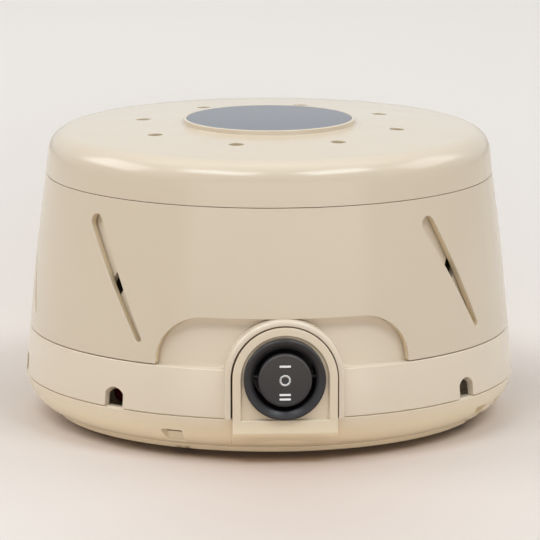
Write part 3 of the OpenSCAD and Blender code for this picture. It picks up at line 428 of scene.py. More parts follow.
# %% From the drawing into space
def pierced(sheet, openings, lips):
    """A wall with openings, as points, faces and normals. Each opening is a closed line of the
    drawing. Both faces stop a lip's radius short of it. The last radius goes for all that follow."""
    radii = (list(lips) + [lips[-1]] * len(openings))[:len(openings)]
    lines = [sheet.flat(opening) for opening in openings]
    rims = [edge_of(sheet, opening, lines, radius) for opening, radius in zip(openings, radii)]
    edges = [sheet.shifted(opening, rim[-1] * rim[2] * rim[3]) for opening, rim in zip(openings, rims)]
    flat_edges = [sheet.flat(edge) for edge in edges]
    grid = sheet.grid()
    flat_grid = sheet.flat(grid)
    inner = grid[inside_lines(flat_grid, flat_edges) & clear_of(flat_grid, flat_edges, FINE)]
    triangles = filled(flat_edges, sheet.flat(inner))
    drawn = np.vstack(edges + [inner])
    top, bottom = sheet.place(drawn, 0), sheet.place(drawn, 1)
    normal, under = sheet.axes(drawn)[2], -sheet.axes(drawn, 1)[2]
    a, b, c = (top[triangles[:, k]] for k in range(3))
    wrong = np.sum(np.cross(b - a, c - a) * normal[triangles[:, 0]], axis=1) < 0
    triangles[wrong] = triangles[wrong][:, ::-1]
    points, normals, count = [top, bottom], [normal, under], len(top)
    faces = triangles.tolist() + (triangles[:, ::-1] + count).tolist()
    base, first = 2 * count, 0
    for rim in rims:
        size, leftward = len(rim[0]), rim[-2]
        rings = [np.arange(first, first + size)]
        for ring_points, ring_normals in lip_rings(*rim):
            points.append(ring_points)
            normals.append(ring_normals)
            rings.append(np.arange(base, base + size))
            base += size
        rings.append(rings[0] + count)
        for a, b in zip(rings, rings[1:]):
            quads = np.c_[a, np.roll(a, -1), np.roll(b, -1), b]
            faces += (quads[:, ::-1] if leftward else quads).tolist()
        first += size
    return np.vstack(points), faces, unit(np.vstack(normals))


# %% [markdown]
# ### Shader arithmetic
#
# A finish is a network of nodes, and such a network is hard to read as a list of links.
# One small class wraps a socket, so that adding, multiplying and mixing read as
# arithmetic. A second one holds a network, and a third a material, while it is written.

# %% Sockets as numbers
class Value:
    """A shader value that takes part in sums and products; each adds its own Math node."""

    def __init__(self, network, socket):
        self.network, self.socket = network, socket

    def math(self, operation, *others, clamp=False):
        node = self.network.tree.nodes.new("ShaderNodeMath")
        node.operation, node.use_clamp = operation, clamp
        for slot, value in zip(node.inputs, (self,) + others):
            self.network.feed(slot, value)
        return Value(self.network, node.outputs[0])

    def __add__(self, other):
        return self.math("ADD", other)

    def __mul__(self, other):
        return self.math("MULTIPLY", other)

    def __sub__(self, other):
        return self.math("SUBTRACT", other)

    def __rsub__(self, other):
        return (self * -1) + other

    __radd__, __rmul__ = __add__, __mul__

    def clamped(self):
        return self.math("ADD", 0.0, clamp=True)

    def rising(self, low, high):
        """0 up to low and 1 from high, both in mm: clamp((value - low) / (high - low))."""
        return ((self - low * MM) * (1 / ((high - low) * MM))).clamped()


# %% Networks and finishes
class Network:
    """A node tree while it is written. A node's settings come before its sockets."""

    def __init__(self, tree):
        self.tree = tree

    def feed(self, slot, value):
        if isinstance(value, Value):
            self.tree.links.new(value.socket, slot)
        else:
            slot.default_value = (*value, 1) if slot.type == "RGBA" and len(value) == 3 else value

    def node(self, kind, settings=None, output=0, **inputs):
        node = self.tree.nodes.new("ShaderNode" + kind)
        for name, value in (settings or {}).items():
            setattr(node, name, value)
        for name, value in inputs.items():
            slot = next(s for s in node.inputs if s.enabled and s.name.replace(" ", "_") == name)
            self.feed(slot, value)
        return Value(self, [s for s in node.outputs if s.enabled][output])


class Finish(Network):
    """A material while it is written. Plain numbers go to the shader's own sockets."""

    def __init__(self, name, **settings):
        self.material = bpy.data.materials.new(name)
        self.material.use_nodes = True
        super().__init__(self.material.node_tree)
        self.shader = next(n for n in self.tree.nodes if n.type == "BSDF_PRINCIPLED")
        self.set(**settings)

    def set(self, **settings):
        for name, value in settings.items():
            self.feed(self.shader.inputs[name.replace("_", " ").title().replace("Ior", "IOR")], value)

    def place(self):
        """Object coordinates, in metres."""
        return self.node("TexCoord", output=3)

    def along(self, axis):
        """One of the Object coordinates."""
        return self.node("SeparateXYZ", Vector=self.place(), output="XYZ".index(axis))

    def noise(self, scale, detail=2.0):
        return self.node("TexNoise", Vector=self.place(), Scale=scale, Detail=detail)

    def mix(self, share, a, b):
        return self.node("Mix", {"data_type": "RGBA"}, Factor=share, A=a, B=b)

    def bump(self, height, distance, strength):
        return self.node("Bump", Height=height, Distance=distance, Strength=strength)


def wear(piece, finish):
    """Gives an object one finish in every slot that it has, and a first slot for a new piece."""
    if not piece.data.materials:
        piece.data.materials.append(finish.material)
    for place in range(len(piece.data.materials)):
        piece.data.materials[place] = finish.material


# %% [markdown]
# ## Cream plastic
#
# The shells are moulded in ABS, a warm cream, with a satin gloss. Up close the gloss
# isn't even: the mould's surface is faintly pebbled, and the tone drifts over the part.
# Three noises do this: a broad one for tone, one for gloss, and a fine one as a bump
# of a few thousandths of a millimetre. The pan is given a lighter and yellower cream than
# the cap, and the housing one between them. Light that gets into a slot bounces from wall
# to wall and comes out golden; that golden is painted bounce light, which a piece lays
# with a mask where its inside is. The pan's bowl gets a painted warm glow of its own, for
# the light that the floor throws up on it.

# %% The cream finish
# Painted bounce light: the warm tone of light caught between cream walls, laid on by a mask.
painted_bounce_gold = (0.700, 0.572, 0.380)
cream_light = (0.706, 0.602, 0.467)
cream_deep = (0.681, 0.572, 0.435)
bowl_low_z, bowl_high_z = 8.5, 13.5


def cream_plastic(name, light=cream_light, deep=cream_deep, painted_bowl_glow=None, inside=None):
    finish = Finish(name)
    tone = finish.mix(((finish.noise(9.0, 3.0) - 0.35) * 2.6).clamped(), deep, light)
    # Painted light: the bowl colour, a warm glow for the floor's bounce, lies below bowl_low_z and fades
    # out by bowl_high_z.
    if painted_bowl_glow:
        tone = finish.mix(finish.along("Z").rising(bowl_low_z, bowl_high_z), painted_bowl_glow, tone)
    # Painted bounce light: golden where the mask finds a piece's inside.
    if inside:
        tone = finish.mix(inside(finish), tone, painted_bounce_gold)
    finish.set(base_color=tone,
               roughness=finish.noise(70.0, 4.0) * 0.10 + 0.15,
               normal=finish.bump(finish.noise(2600.0), 0.000012, 0.35))
    return finish


housing_cream = cream_plastic("housing_cream", (0.775, 0.668, 0.532), (0.750, 0.640, 0.500))
pan_cream = cream_plastic("pan_cream", (0.835, 0.718, 0.552), (0.810, 0.688, 0.522),
                          painted_bowl_glow=(0.970, 0.840, 0.620))
print("cream tone between", cream_deep, "and", cream_light)

# %% [markdown]
# ## Black plastic, rubber and the metals inside
#
# The inner pieces hardly show, but each gets its own finish all the same, because the
# slots let a little light in and the object may be opened. Two recipes cover them: a
# metal with a fine cast or drawn grain, and a soft plastic. The rocker's tone rises from
# black at its foot to grey at its top: a painted sheen, which stands for the brighter
# reflection on its upper half.

# %% Two recipes
def metal(name, dark, light, roughness, grain=500.0):
    finish = Finish(name, metallic=1.0)
    finish.set(base_color=finish.mix(finish.noise(grain, 4.0), dark, light),
               roughness=finish.noise(grain / 3, 3.0) * 0.2 + (roughness - 0.1),
               normal=finish.bump(finish.noise(grain * 4, 3.0), 0.00001, 0.5))
    return finish


def soft_plastic(name, dark, light, roughness=0.5, grain=250.0, depth=0.00001, share=None):
    finish = Finish(name, roughness=roughness)
    finish.set(base_color=finish.mix(share(finish) if share else finish.noise(grain, 3.0), dark, light),
               normal=finish.bump(finish.noise(grain * 7, 3.0), depth, 0.5))
    return finish


def painted_top_sheen(finish):
    """Where the rocker's painted sheen rises: 0 at its foot and 1 at its top."""
    low, high = span("rocker")
    return finish.along("Z").rising(low[2], high[2])


# %% Who wears what
black_plastic = soft_plastic("black_plastic", (0.012, 0.011, 0.013), (0.022, 0.020, 0.022), 0.28, 400.0)
# Painted sheen: the rocker's tone lightens from foot to top, for the reflection on its upper half.
rocker_plastic = soft_plastic("rocker_plastic", (0.006, 0.005, 0.006), (0.055, 0.050, 0.049), 0.36, 500.0,
                              share=painted_top_sheen)
badge_plastic = soft_plastic("badge_plastic", (0.178, 0.186, 0.205), (0.205, 0.213, 0.232), 0.38, 600.0)
mark_paint = soft_plastic("mark_paint", (0.92, 0.92, 0.93), (0.96, 0.96, 0.97), 0.5, 900.0)
worn_by = {
    cream_plastic("cream_plastic"): "cap collar",
    housing_cream: "upper_housing",
    pan_cream: "bottom_pan",
    black_plastic: "switch_body",
    rocker_plastic: "rocker",
    badge_plastic: "badge",
    soft_plastic("black_rubber", (0.018, 0.018, 0.018), (0.034, 0.033, 0.032), 0.75, 300.0, 0.00003):
        "rubber_feet cord_gland rubber_mounts",
    metal("zinc_steel", (0.46, 0.46, 0.45), (0.62, 0.62, 0.60), 0.38):
        "housing_screws motor_screws motor_nuts motor_plate mount_nuts shaft fan_clip",
    metal("electrical_steel", (0.20, 0.20, 0.21), (0.33, 0.33, 0.34), 0.5, 900.0):
        "stator_stack coil_core rotor",
    metal("cast_aluminium", (0.58, 0.58, 0.59), (0.74, 0.74, 0.74), 0.45, 350.0):
        "upper_bracket lower_bracket standoffs",
    metal("brass", (0.62, 0.45, 0.19), (0.76, 0.58, 0.28), 0.32): "switch_terminals",
    metal("bronze", (0.34, 0.21, 0.10), (0.48, 0.31, 0.16), 0.45): "upper_bearing lower_bearing",
    metal("copper_wire", (0.56, 0.25, 0.12), (0.72, 0.36, 0.19), 0.3, 1400.0):
        "coil_winding shading_rings",
    soft_plastic("natural_nylon", (0.66, 0.64, 0.55), (0.76, 0.74, 0.66)):
        "coil_bobbin thrust_washers fan",
    soft_plastic("red_insulation", (0.26, 0.012, 0.014), (0.36, 0.02, 0.02), 0.4):
        "lead_red lead_splice",
    soft_plastic("black_insulation", (0.02, 0.02, 0.02), (0.035, 0.035, 0.035), 0.4): "lead_black",
    soft_plastic("white_insulation", (0.66, 0.65, 0.62), (0.76, 0.75, 0.72), 0.4): "lead_white",
}
for finish, nodes in worn_by.items():
    for node in nodes.split():
        wear(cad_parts[node], finish)
print("finishes on the frame's nodes:", len(worn_by))

# %% [markdown]
# ## Sizes of the shells
#
# All shells share one axis and a few heights: the seam over the pan, the ledge under
# the collar and the seam under the cap. The collar's side is an arc of very large
# radius. The housing's wall behind it follows the same arc further in, and so does the
# cap's crown with the dome under it.

# %% Shared sizes
seam, wall = 0.3, 2.0
pan_seam_z = 13.6
ledge_z = span("collar")[0][2] - seam / 2
cap_seam_z = span("collar")[1][2] + seam / 2
boss_top_z = span("cap")[1][2]
body_r, ring_top_r, collar_low_r, collar_top_r = 73.0, 71.7, 71.6, 66.5
inset, dome_inset = wall + 0.4, wall + 0.7
bow_r = 756.0
chord = hypot(collar_low_r - collar_top_r, cap_seam_z - ledge_z)
lean = np.array([cap_seam_z - ledge_z, collar_low_r - collar_top_r]) / chord
bow_centre = (np.array([(collar_low_r + collar_top_r) / 2, (ledge_z + cap_seam_z) / 2])
              - lean * sqrt(bow_r ** 2 - (chord / 2) ** 2))
shoulder = np.array([59.151, 79.3])
shoulder_r, cap_lean = 6.75, 5.5
crown_r = 974.0
crown_z = shoulder[1] - sqrt((crown_r - shoulder_r) ** 2 - shoulder[0] ** 2)
crown_angle = degrees(atan2(shoulder[1] - crown_z, shoulder[0]))
switch_z, front_y = 25.2, body_r + 0.2
hole_r, hole_ring_r = 2.2, 38.9
slot_top_z, slot_bottom_z = 65.7, 34.2
screw_ring_r = 60.0


# %% Shared lines
def side_r(z, inward=0.0):
    """Radius of the bowed side at a height: a circle of radius bow_r about bow_centre."""
    return bow_centre[0] + np.sqrt((bow_r - inward) ** 2 - (z - bow_centre[1]) ** 2)


def wall_line(inward, z0, z1, count=14):
    z = np.linspace(z0, z1, count)
    return np.c_[side_r(z, inward), z]


def crown_line(inward, r0, r1, count=18):
    """Part of the crown: a circle of radius crown_r about a point far below on the axis."""
    r = np.linspace(r0, r1, count)
    return np.c_[r, crown_z + np.sqrt((crown_r - inward) ** 2 - r ** 2)]


def crown_height(inward, r):
    return crown_line(inward, r, r, 1)[0, 1]


def crown_edge(inward):
    """Radius at which the crown ends and the shoulder begins."""
    return shoulder[0] + (shoulder_r - inward) * cos(radians(crown_angle))


def dome_side(inward, z):
    """Radius of the cap's leaning side below the shoulder, at a height."""
    lean_angle = radians(cap_lean)
    start = shoulder + (shoulder_r - inward) * np.array([cos(lean_angle), sin(lean_angle)])
    return start[0] + (start[1] - z) * tan(lean_angle)


print("heights of ledge, cap seam and boss:", ledge_z, cap_seam_z, boss_top_z)


# %% Walls with an inner face
def chained(*parts):
    """Lines end to end, without repeated points."""
    line = np.vstack(parts)
    return line[distinct(line, 1e-4)]


def lining(outer, thickness, *runs):
    """The inner face of a wall: each outer point moved in along its normal. In a run, a list of
    outer points and their inner partners, it goes straight from partner to partner. Where the
    partner is None, the moved point is kept."""
    walk = walked(outer)
    way = travel_along(outer, walk)
    inner = outer - thickness * np.c_[-way[:, 1], way[:, 0]]
    for run in runs:
        near = [int(np.argmin(np.hypot(*(outer - key).T))) for key, _ in run]
        partners = [inner[i] if partner is None else partner for i, (_, partner) in zip(near, run)]
        within = slice(near[0], near[-1] + 1)
        for k in (0, 1):
            inner[within, k] = np.interp(walk[within], walk[near], [p[k] for p in partners])
    return inner


# %% Lines for openings
def stepped(line, spacing=FINE, least=3, endpoint=True):
    """A line cut into equal steps of about the given length."""
    walk = walked(line)
    even = np.linspace(0, walk[-1], max(least, int(walk[-1] / spacing)), endpoint=endpoint)
    return between(walk, line, even)


def resampled(line, spacing=FINE):
    """The same for a closed line."""
    return stepped(np.vstack([line, line[:1]]), spacing, 8, endpoint=False)


def circle(radius, x=0.0, y=0.0):
    count = max(24, int(2 * pi * radius / FINE))
    t = 2 * pi * np.arange(count) / count
    return np.c_[x + radius * np.cos(t), y + radius * np.sin(t)]


def box_outline(half, low, high, fillet, spacing):
    """A rectangle with rounded corners, from the middle of its lower side round."""
    return resampled(loop([(0, low), (half, low, fillet), (half, high, fillet),
                           (-half, high, fillet), (-half, low, fillet)]), spacing)


def teardrop(top_w, bottom_w, run):
    """Two half circles joined by straight flanks. The upper one is wide and lies half the run to
    the left."""
    top, bottom = np.array([-run / 2, slot_top_z]), np.array([run / 2, slot_bottom_z])
    tilt = atan2(*(top - bottom)[::-1])
    over = np.linspace(-pi / 2, pi / 2, 14)
    ends = [end + width / 2 * np.c_[np.cos(turn + over), np.sin(turn + over)]
            for end, width, turn in ((top, top_w, tilt), (bottom, bottom_w, tilt + pi))]
    return resampled(np.vstack(ends))


def both_sides(half):
    """A line from the middle to the right, with its mirror image before it."""
    return np.vstack([half[::-1] * [-1, 1], half[1:]])


# %% Openings on a sheet
def from_above(sheet, xy, azimuth=0.0, r=0.0):
    """A line drawn in plan, moved out to a radius along an azimuth and let down on the sheet."""
    x, y = xy[:, 0], xy[:, 1] + r
    return np.c_[azimuth + np.arctan2(x, y), sheet.find(np.hypot(x, y), 0)]


def notched_edge(sheet, notches, spacing=1.2):
    """The sheet's lower edge as one closed line that runs up and over each notch. The notches are
    lines of (u, s) from left to right, in order of azimuth."""
    line = []
    for this, after in zip(notches, notches[1:] + [notches[0] + [2 * pi, 0]]):
        count = max(3, int((after[0, 0] - this[-1, 0]) * sheet.line(sheet.length)[0] / spacing))
        u = np.linspace(this[-1, 0], after[0, 0], count)[1:-1]
        line += [this, np.c_[u, sheet.length + 0 * u]]
    return np.vstack(line)


def around(first, step, places):
    return [radians(first + step * i) for i in places]


def sound_holes(sheet, first):
    """Eight round holes on one ring, the first at an azimuth in degrees."""
    return [from_above(sheet, circle(hole_r), a, hole_ring_r) for a in around(first, 45, range(8))]


print("points round a sound hole:", len(circle(hole_r)))


# %% Prisms
def oriented(points, faces, normals):
    """Turns each face round whose winding disagrees with the normals at its corners."""
    corners = np.array([face[:3] for face in faces])
    a, b, c = (points[corners[:, k]] for k in range(3))
    wrong = np.sum(np.cross(b - a, c - a) * normals[corners].mean(axis=1), axis=1) < 0
    return points, [face[::-1] if bad else face for face, bad in zip(faces, wrong)], normals


def bands(size, count):
    """Quads between closed rings of a size that follow one another in a list of points."""
    i = np.arange(size)
    ring = np.c_[i, np.roll(i, -1), np.roll(i, -1) + size, i + size]
    return np.vstack([ring + k * size for k in range(count - 1)]).tolist()


def prism(outline, back, front, bevel=0.12):
    """A closed outline (a, b) carried along Z. Both rims are quarter circles: at an angle t the
    outline shrinks by bevel (1 - cos t) and stays bevel (1 - sin t) short of the face."""
    way = travel_round(outline)
    area = np.sum(outline[:, 0] * np.roll(outline[:, 1], -1) - outline[:, 1] * np.roll(outline[:, 0], -1))
    out = np.c_[way[:, 1], -way[:, 0]] * copysign(1, area)
    size, points, normals = len(outline), [], []
    for face, side in ((front, 1), (back, -1)):
        for t in np.radians([90, 60, 30, 0][::side]):
            ring = outline - out * bevel * (1 - cos(t))
            points.append(np.c_[ring, np.full(size, face - side * bevel * (1 - sin(t)))])
            normals.append(np.c_[out * cos(t), np.full(size, side * sin(t))])
    lid = filled([points[0][:, :2]])
    faces = bands(size, len(points)) + lid.tolist() + (lid[:, ::-1] + (len(points) - 1) * size).tolist()
    return oriented(np.vstack(points), faces, np.vstack(normals))


# %% Sweeps
def swept(section, origins, across, out):
    """A closed section (rho, d) carried past stations: a point is origin + rho across + d out."""
    way = travel_round(section)
    points = origins[:, None] + section[:, 0, None] * across[:, None] + section[:, 1, None] * out
    normals = -way[:, 1, None] * across[:, None] + way[:, 0, None] * out
    lid = filled([section]).tolist()
    parts = [oriented(points.reshape(-1, 3), bands(len(section), len(origins)), normals.reshape(-1, 3))]
    for k, ahead in ((0, 1), (-1, -2)):
        outward = unit((origins[k] + across[k] - origins[ahead] - across[ahead])[None])
        parts.append(oriented(points[k], lid, np.repeat(outward, len(section), 0)))
    return joined(*parts)


def arch_stations(bottom_z, y, count=48):
    """Origins and directions up a right leg, over a half circle about the switch's centre and down a
    left leg."""
    t = np.linspace(0, pi, count)
    leg = np.linspace(bottom_z, switch_z, 6)[:-1]
    z = np.r_[leg, np.full(count, switch_z), leg[::-1]]
    angle = np.r_[np.zeros(len(leg)), t, np.full(len(leg), pi)]
    origins = np.c_[0 * z, np.full(len(z), -y), z]
    return origins, np.c_[np.cos(angle), 0 * angle, np.sin(angle)], np.array([0, -1.0, 0])


def arch_half(radius, bottom_z):
    """From the top of an arch about the switch's centre to the foot of its right leg."""
    return np.vstack([arc((0, switch_z), radius, 90, 0, 40), [[radius, bottom_z]]])


# %% Setting parts in their places
facing_front = dict(y=(0, 0, 1), z=(0, -1, 0))
seen_from_side = dict(x=(0, 1, 0), y=(0, 0, 1), z=(1, 0, 0))


def placed(part, origin=(0, 0, 0), x=(1, 0, 0), y=(0, 1, 0), z=(0, 0, 1)):
    """A part with its three axes laid along new directions, from a new origin."""
    axes = np.array([x, y, z], float)
    return part[0] @ axes + np.array(origin, float), part[1], part[2] @ axes


def at(azimuth, r):
    return r * sin(azimuth), -r * cos(azimuth)


def stood(part, azimuth, r):
    """A part that stands on the Z axis, moved out to a radius along an azimuth."""
    return placed(part, (*at(azimuth, r), 0))


def upright(part, azimuth):
    """Stands a part drawn in (radius, height) up at an azimuth, its thickness going round."""
    c, s = cos(azimuth), sin(azimuth)
    return placed(part, x=(s, -c, 0), y=(0, 0, 1), z=(-c, -s, 0))


# %% [markdown]
# ## The collar
#
# The collar is a two millimetre wall, wider at the foot and bowed very slightly. Seven
# teardrop slots lean to one side, and a wide arched cut-out at the front makes room for
# the switch. Its lower edge is therefore a line that runs up, over and down again. Behind
# the face, on the walls of the slots and inside, golden is painted: painted bounce light
# that stands for the light the slots' walls throw to each other.

# %% The collar
foot_z = ledge_z + seam / 2
collar_sheet = RoundSheet(*(wall_line(inward, cap_seam_z - seam / 2, foot_z) for inward in (0.0, wall)),
                          core=60.0)
cutout_half, cutout_top, cutout_r = 36.3, 42.0, 13.6
corner_x, corner_z = cutout_half - cutout_r, cutout_top - cutout_r
cutout = np.vstack([
    [[0, cutout_top]], arc((corner_x, corner_z), cutout_r, 90, 0, 20),
    rounded([(cutout_half, corner_z), (cutout_half, foot_z, 0.3), (cutout_half + 2, foot_z)])])
slot_azimuths = around(2.1, 45, range(1, 8))
collar_slot = teardrop(4.7, 1.8, 18.7)
collar_openings = [
    collar_sheet.ring(0.0),
    notched_edge(collar_sheet, [collar_sheet.pressed(both_sides(stepped(cutout)), 0.0)]),
    *(collar_sheet.pressed(collar_slot, a) for a in slot_azimuths)]


# %% Painted bounce light behind the collar's face
def round_place(finish):
    """Distance from the axis and height of a point, in metres."""
    x, y = finish.along("X"), finish.along("Y")
    return (x * x + y * y).math("SQRT"), finish.along("Z")


# Mask for the painted golden bounce light on the collar.
def painted_bounce_behind_face(finish):
    """0 on the collar's face and 1 from 0.6 mm below it. The side is taken as straight."""
    radius, z = round_place(finish)
    slope = (collar_top_r - collar_low_r) / (cap_seam_z - ledge_z)
    face = z * slope + (collar_low_r - slope * ledge_z) * MM
    return (face - radius).rising(0.3, 0.6)


make_piece("collar_shell", "collar", "collar",
           pierced(collar_sheet, collar_openings, lips=(0.1, 0.15, 0.25)),
           cream_plastic("collar_cream", inside=painted_bounce_behind_face))

# %% [markdown]
# ## The cap and its badge
#
# The cap is one shell: a crown that is almost flat, a tight shoulder that holds the
# long highlight, and a side that leans in. Eight holes stand in a ring. A raised boss
# carries the badge, a slate grey disc that is left bare. Below, four hooked fingers snap
# into the dome, and a peg stops the turn. The fingers are quarter rings, so their
# profile is swept between two azimuths.

# %% The cap's shell
recess_z, badge_r, rim_r = boss_top_z - 0.8, 24.6, 25.6
crown_start = crown_line(0.0, rim_r, crown_edge(0.0))
boss = rounded([(0, recess_z), (badge_r, recess_z, 0.06), (badge_r, boss_top_z, 0.2),
                (rim_r, boss_top_z, 0.3), (*crown_start[0], 0.3), crown_start[1]])
cap_foot_z = cap_seam_z + 0.03
cap_outer = chained(boss, crown_start[2:-1], arc(shoulder, shoulder_r, crown_angle, cap_lean, 14),
                    [(dome_side(0.0, cap_foot_z), cap_foot_z)])
cap_inner = lining(cap_outer, wall,
                   [((0, recess_z), (0, crown_height(wall, 0))), (crown_start[1], None)])
cap_inner[:, 1] = np.maximum(cap_inner[:, 1], cap_foot_z)
cap_sheet = RoundSheet(cap_outer, cap_inner)
cap_parts = [pierced(cap_sheet, [cap_sheet.ring(cap_sheet.length), *sound_holes(cap_sheet, -17.5)],
                     lips=(0.1, 0.25))]

# %% Snap fingers and stop peg
snap_r, finger_r, hook_r, inner_r = 9.5, 8.5, 10.5, 7.5
stop_r, peg_r = 17.0, 1.6
dome_under_z = crown_height(dome_inset + wall, snap_r)
hook_z = dome_under_z - 0.4
root_z, tip_z = hook_z + 4.6, hook_z - 2.6
finger = loop([(finger_r, root_z), (snap_r, root_z), (snap_r, hook_z, 0.1), (hook_r, hook_z, 0.15),
               (hook_r, hook_z - 0.8, 0.2), (snap_r, tip_z, 0.2), (inner_r, tip_z, 0.2),
               (inner_r, root_z)], 24)
stations, slit = 14, 0.8 / 9
for quarter in around(0, 90, range(4)):
    u = np.linspace(quarter - pi / 4 + slit, quarter + pi / 4 - slit, stations)
    cap_parts.append(swept(finger, np.zeros((stations, 3)), wound(u, 1, 0), np.array([0, 0, 1.0])))
peg = lathe([(peg_r, hook_z + 4), (peg_r, hook_z + 3.5), (peg_r, dome_under_z + 1, 0.4)], 24)
cap_parts.append(stood(peg, pi, stop_r))


# %% Painted bounce light in the cap's holes
# Mask for the painted golden bounce light in the cap's holes.
def painted_bounce_in_holes(finish):
    """1 near the ring of holes and deeper than 0.7 mm under the crown, 0 elsewhere."""
    radius, z = round_place(finish)
    off_ring = (radius - hole_ring_r * MM).math("ABSOLUTE").rising(hole_r + 0.4, hole_r + 0.7)
    depth = crown_height(0.0, hole_ring_r) * MM - z
    return (1 - off_ring) * depth.rising(0.4, 0.7)


make_piece("cap_shell", "cap", "cap", joined(*cap_parts), cream_plastic("cap_cream", inside=painted_bounce_in_holes))

# %% The bare badge
disc_r = badge_r - 0.05
badge = lathe([(disc_r, boss_top_z - 0.01, 0.18), (disc_r, recess_z + 0.02)], 180)
make_piece("badge_disc", "cap", "badge", badge, badge_plastic)

# %% [markdown]
# ## The upper housing
#
# This is the skilful moulding of the set. One profile runs from the snap hole over the
# dome, down the slotted wall behind the collar, out over the ledge and down the base
# ring. Its slots lean the other way than the collar's, so a turn of the collar moves
# the place where the two cross. Six small windows and the tall arch for the switch open
# from its lower edge.

# %% The housing's profile
ring_edge_z, ring_low_z = ledge_z - seam / 2, pan_seam_z + seam / 2
dome_low_z, wall_top_z, wall_low_z = 79, 71, 29
snap_hole_r = 9.9
dome_low = (dome_side(dome_inset, dome_low_z), dome_low_z)
wall_top = (side_r(wall_top_z, inset), wall_top_z)
step_line = rounded([dome_low, (dome_side(dome_inset, cap_seam_z), cap_seam_z, 0.12),
                     (side_r(cap_seam_z, inset), cap_seam_z, 0.12), wall_top])
ledge_start = (side_r(ring_edge_z, inset), ring_edge_z)
ledge_line = rounded([(side_r(wall_low_z, inset), wall_low_z), (*ledge_start, 0.2),
                      (ring_top_r, ring_edge_z, 0.35), (body_r, ring_low_z)])
housing_outer = chained(crown_line(dome_inset, snap_hole_r, crown_edge(dome_inset), 20)[:-1],
                        arc(shoulder, shoulder_r - dome_inset, crown_angle, cap_lean, 10),
                        step_line, wall_line(inset, wall_top_z, wall_low_z), ledge_line)

# %% Its inner face
under_ledge_z = 25.45
housing_inner = lining(
    housing_outer, wall,
    [(dome_low, None), (wall_top, None)],
    [((side_r(32.2, inset), 32.2), None),
     (ledge_start, (side_r(under_ledge_z, inset + wall), under_ledge_z)),
     ((ring_top_r, ring_edge_z), (ring_top_r - wall, under_ledge_z)),
     ((body_r, ring_low_z), (body_r - wall, ring_low_z))])
housing_sheet = RoundSheet(housing_outer, housing_inner, core=snap_hole_r)
print("length of the housing's profile:", round(housing_sheet.length, 1))

# %% The arch's notch and the windows
arch_r, notch_r = 17.1, 16.3
notch_low = np.arange(housing_sheet.length, housing_sheet.find(ring_edge_z - 0.01, 1) - 3.0, -FINE)
notch_low_r, notch_low_z = housing_sheet.line(notch_low)
notch_x = np.sqrt(notch_r ** 2 - np.maximum(notch_low_z - switch_z, 0) ** 2)
notch_high = np.linspace(asin((notch_low_z[-1] - switch_z) / notch_r), pi / 2, 50)[1:]
notch_arc = np.c_[notch_r * np.cos(notch_high), switch_z + notch_r * np.sin(notch_high)]
notch_up = np.vstack([np.c_[np.arcsin(notch_x / notch_low_r), notch_low],
                      housing_sheet.pressed(notch_arc, 0.0)])
arch_notch = both_sides(notch_up[::-1])
window_half = np.vstack([[[0, 19.6]], arc((0, 15.7), 3.9, 90, 32.2, 12)[1:],
                         rounded([(3.3, 17.7), (3.3, ring_low_z, 0.25), (4.2, ring_low_z)])])
windows = [housing_sheet.pressed(both_sides(stepped(window_half)), a)
           for a in around(3.6, 45, (1, 2, 3, 5, 6, 7))]


# %% The stop slot and all the openings
def bow(r, t):
    """Points in plan at a radius and at angles from +Y."""
    return r * np.c_[np.sin(t), np.cos(t)]


stop_swing, stop_half = radians(23), 2
swing = np.linspace(-stop_swing, stop_swing, 40)
end = np.linspace(0, pi, 12)[1:-1]
stop_slot = np.vstack([
    bow(stop_r + stop_half, swing), bow(stop_r, stop_swing) + bow(stop_half, stop_swing + end),
    bow(stop_r - stop_half, swing)[::-1], bow(stop_r, -stop_swing) - bow(stop_half, end - stop_swing)])
gland_azimuth, gland_z, bush_r = radians(195), 20.0, 4.5
housing_openings = [
    housing_sheet.ring(0.0, 90), notched_edge(housing_sheet, [arch_notch] + windows),
    from_above(housing_sheet, resampled(stop_slot), pi),
    housing_sheet.pressed(circle(bush_r, 0, gland_z), gland_azimuth),
    *sound_holes(housing_sheet, -13.5),
    *(housing_sheet.pressed(teardrop(5.2, 4.4, -18.6), a) for a in slot_azimuths)]
housing_parts = [pierced(housing_sheet, housing_openings, lips=(0.2, 0.12, 0.2))]

# %% [markdown]
# The switch's arch is a band with a round outer edge. Its section is carried up one
# leg, round the half circle and down the other. Deep points near the top stay under the
# collar. Four bosses, each tied to the wall by a web, take the screws.

# %% Arch and bosses
arch_hole_r, arch_depth = 15.4, 7.2
band = loop([(16, 0), (arch_hole_r, 0, 0.1), (arch_hole_r, arch_depth, 0.25), (arch_r, arch_depth, 1.1),
             (arch_r, 0, 0.1)], 15)
band_points, band_faces, band_normals = swept(band, *arch_stations(ring_low_z, front_y - arch_depth))
deep = (band_points[:, 1] > 2.4 - front_y) & (band_points[:, 2] > cutout_top - 0.4)
band_points[deep, 2] = cutout_top - 0.4
housing_parts.append((band_points, band_faces, band_normals))
boss_foot_z, boss_tip_z = 12.0, 33.6
screw_boss = lathe([(3.9, boss_tip_z, 0.4), (3.9, boss_foot_z, 0.2), (1.5, boss_foot_z, 0.1),
                    (1.5, boss_tip_z - 3)], 36)
web = prism(np.array([(screw_ring_r, 16.6), (70.9, 16.6), (70.9, 26.0), (67.6, 26.4), (67.6, boss_tip_z),
                      (screw_ring_r, boss_tip_z)]), -1, 1)
screw_azimuths = around(-26.6, 90, range(4))
for a in screw_azimuths:
    housing_parts += [stood(screw_boss, a, screw_ring_r), upright(web, a)]
make_piece("housing_shell", "root", "upper_housing", joined(*housing_parts), housing_cream)

# %% [markdown]
# ## The bottom pan
#
# The pan is a round tray with a rolled side, and it closes the drum from below. Its
# profile starts at the rim and ends on the axis. Three notches break the rolled side.
# The upright plate for the switch grows from its front: a rim round a sunk face, on a
# block that runs out into the side.

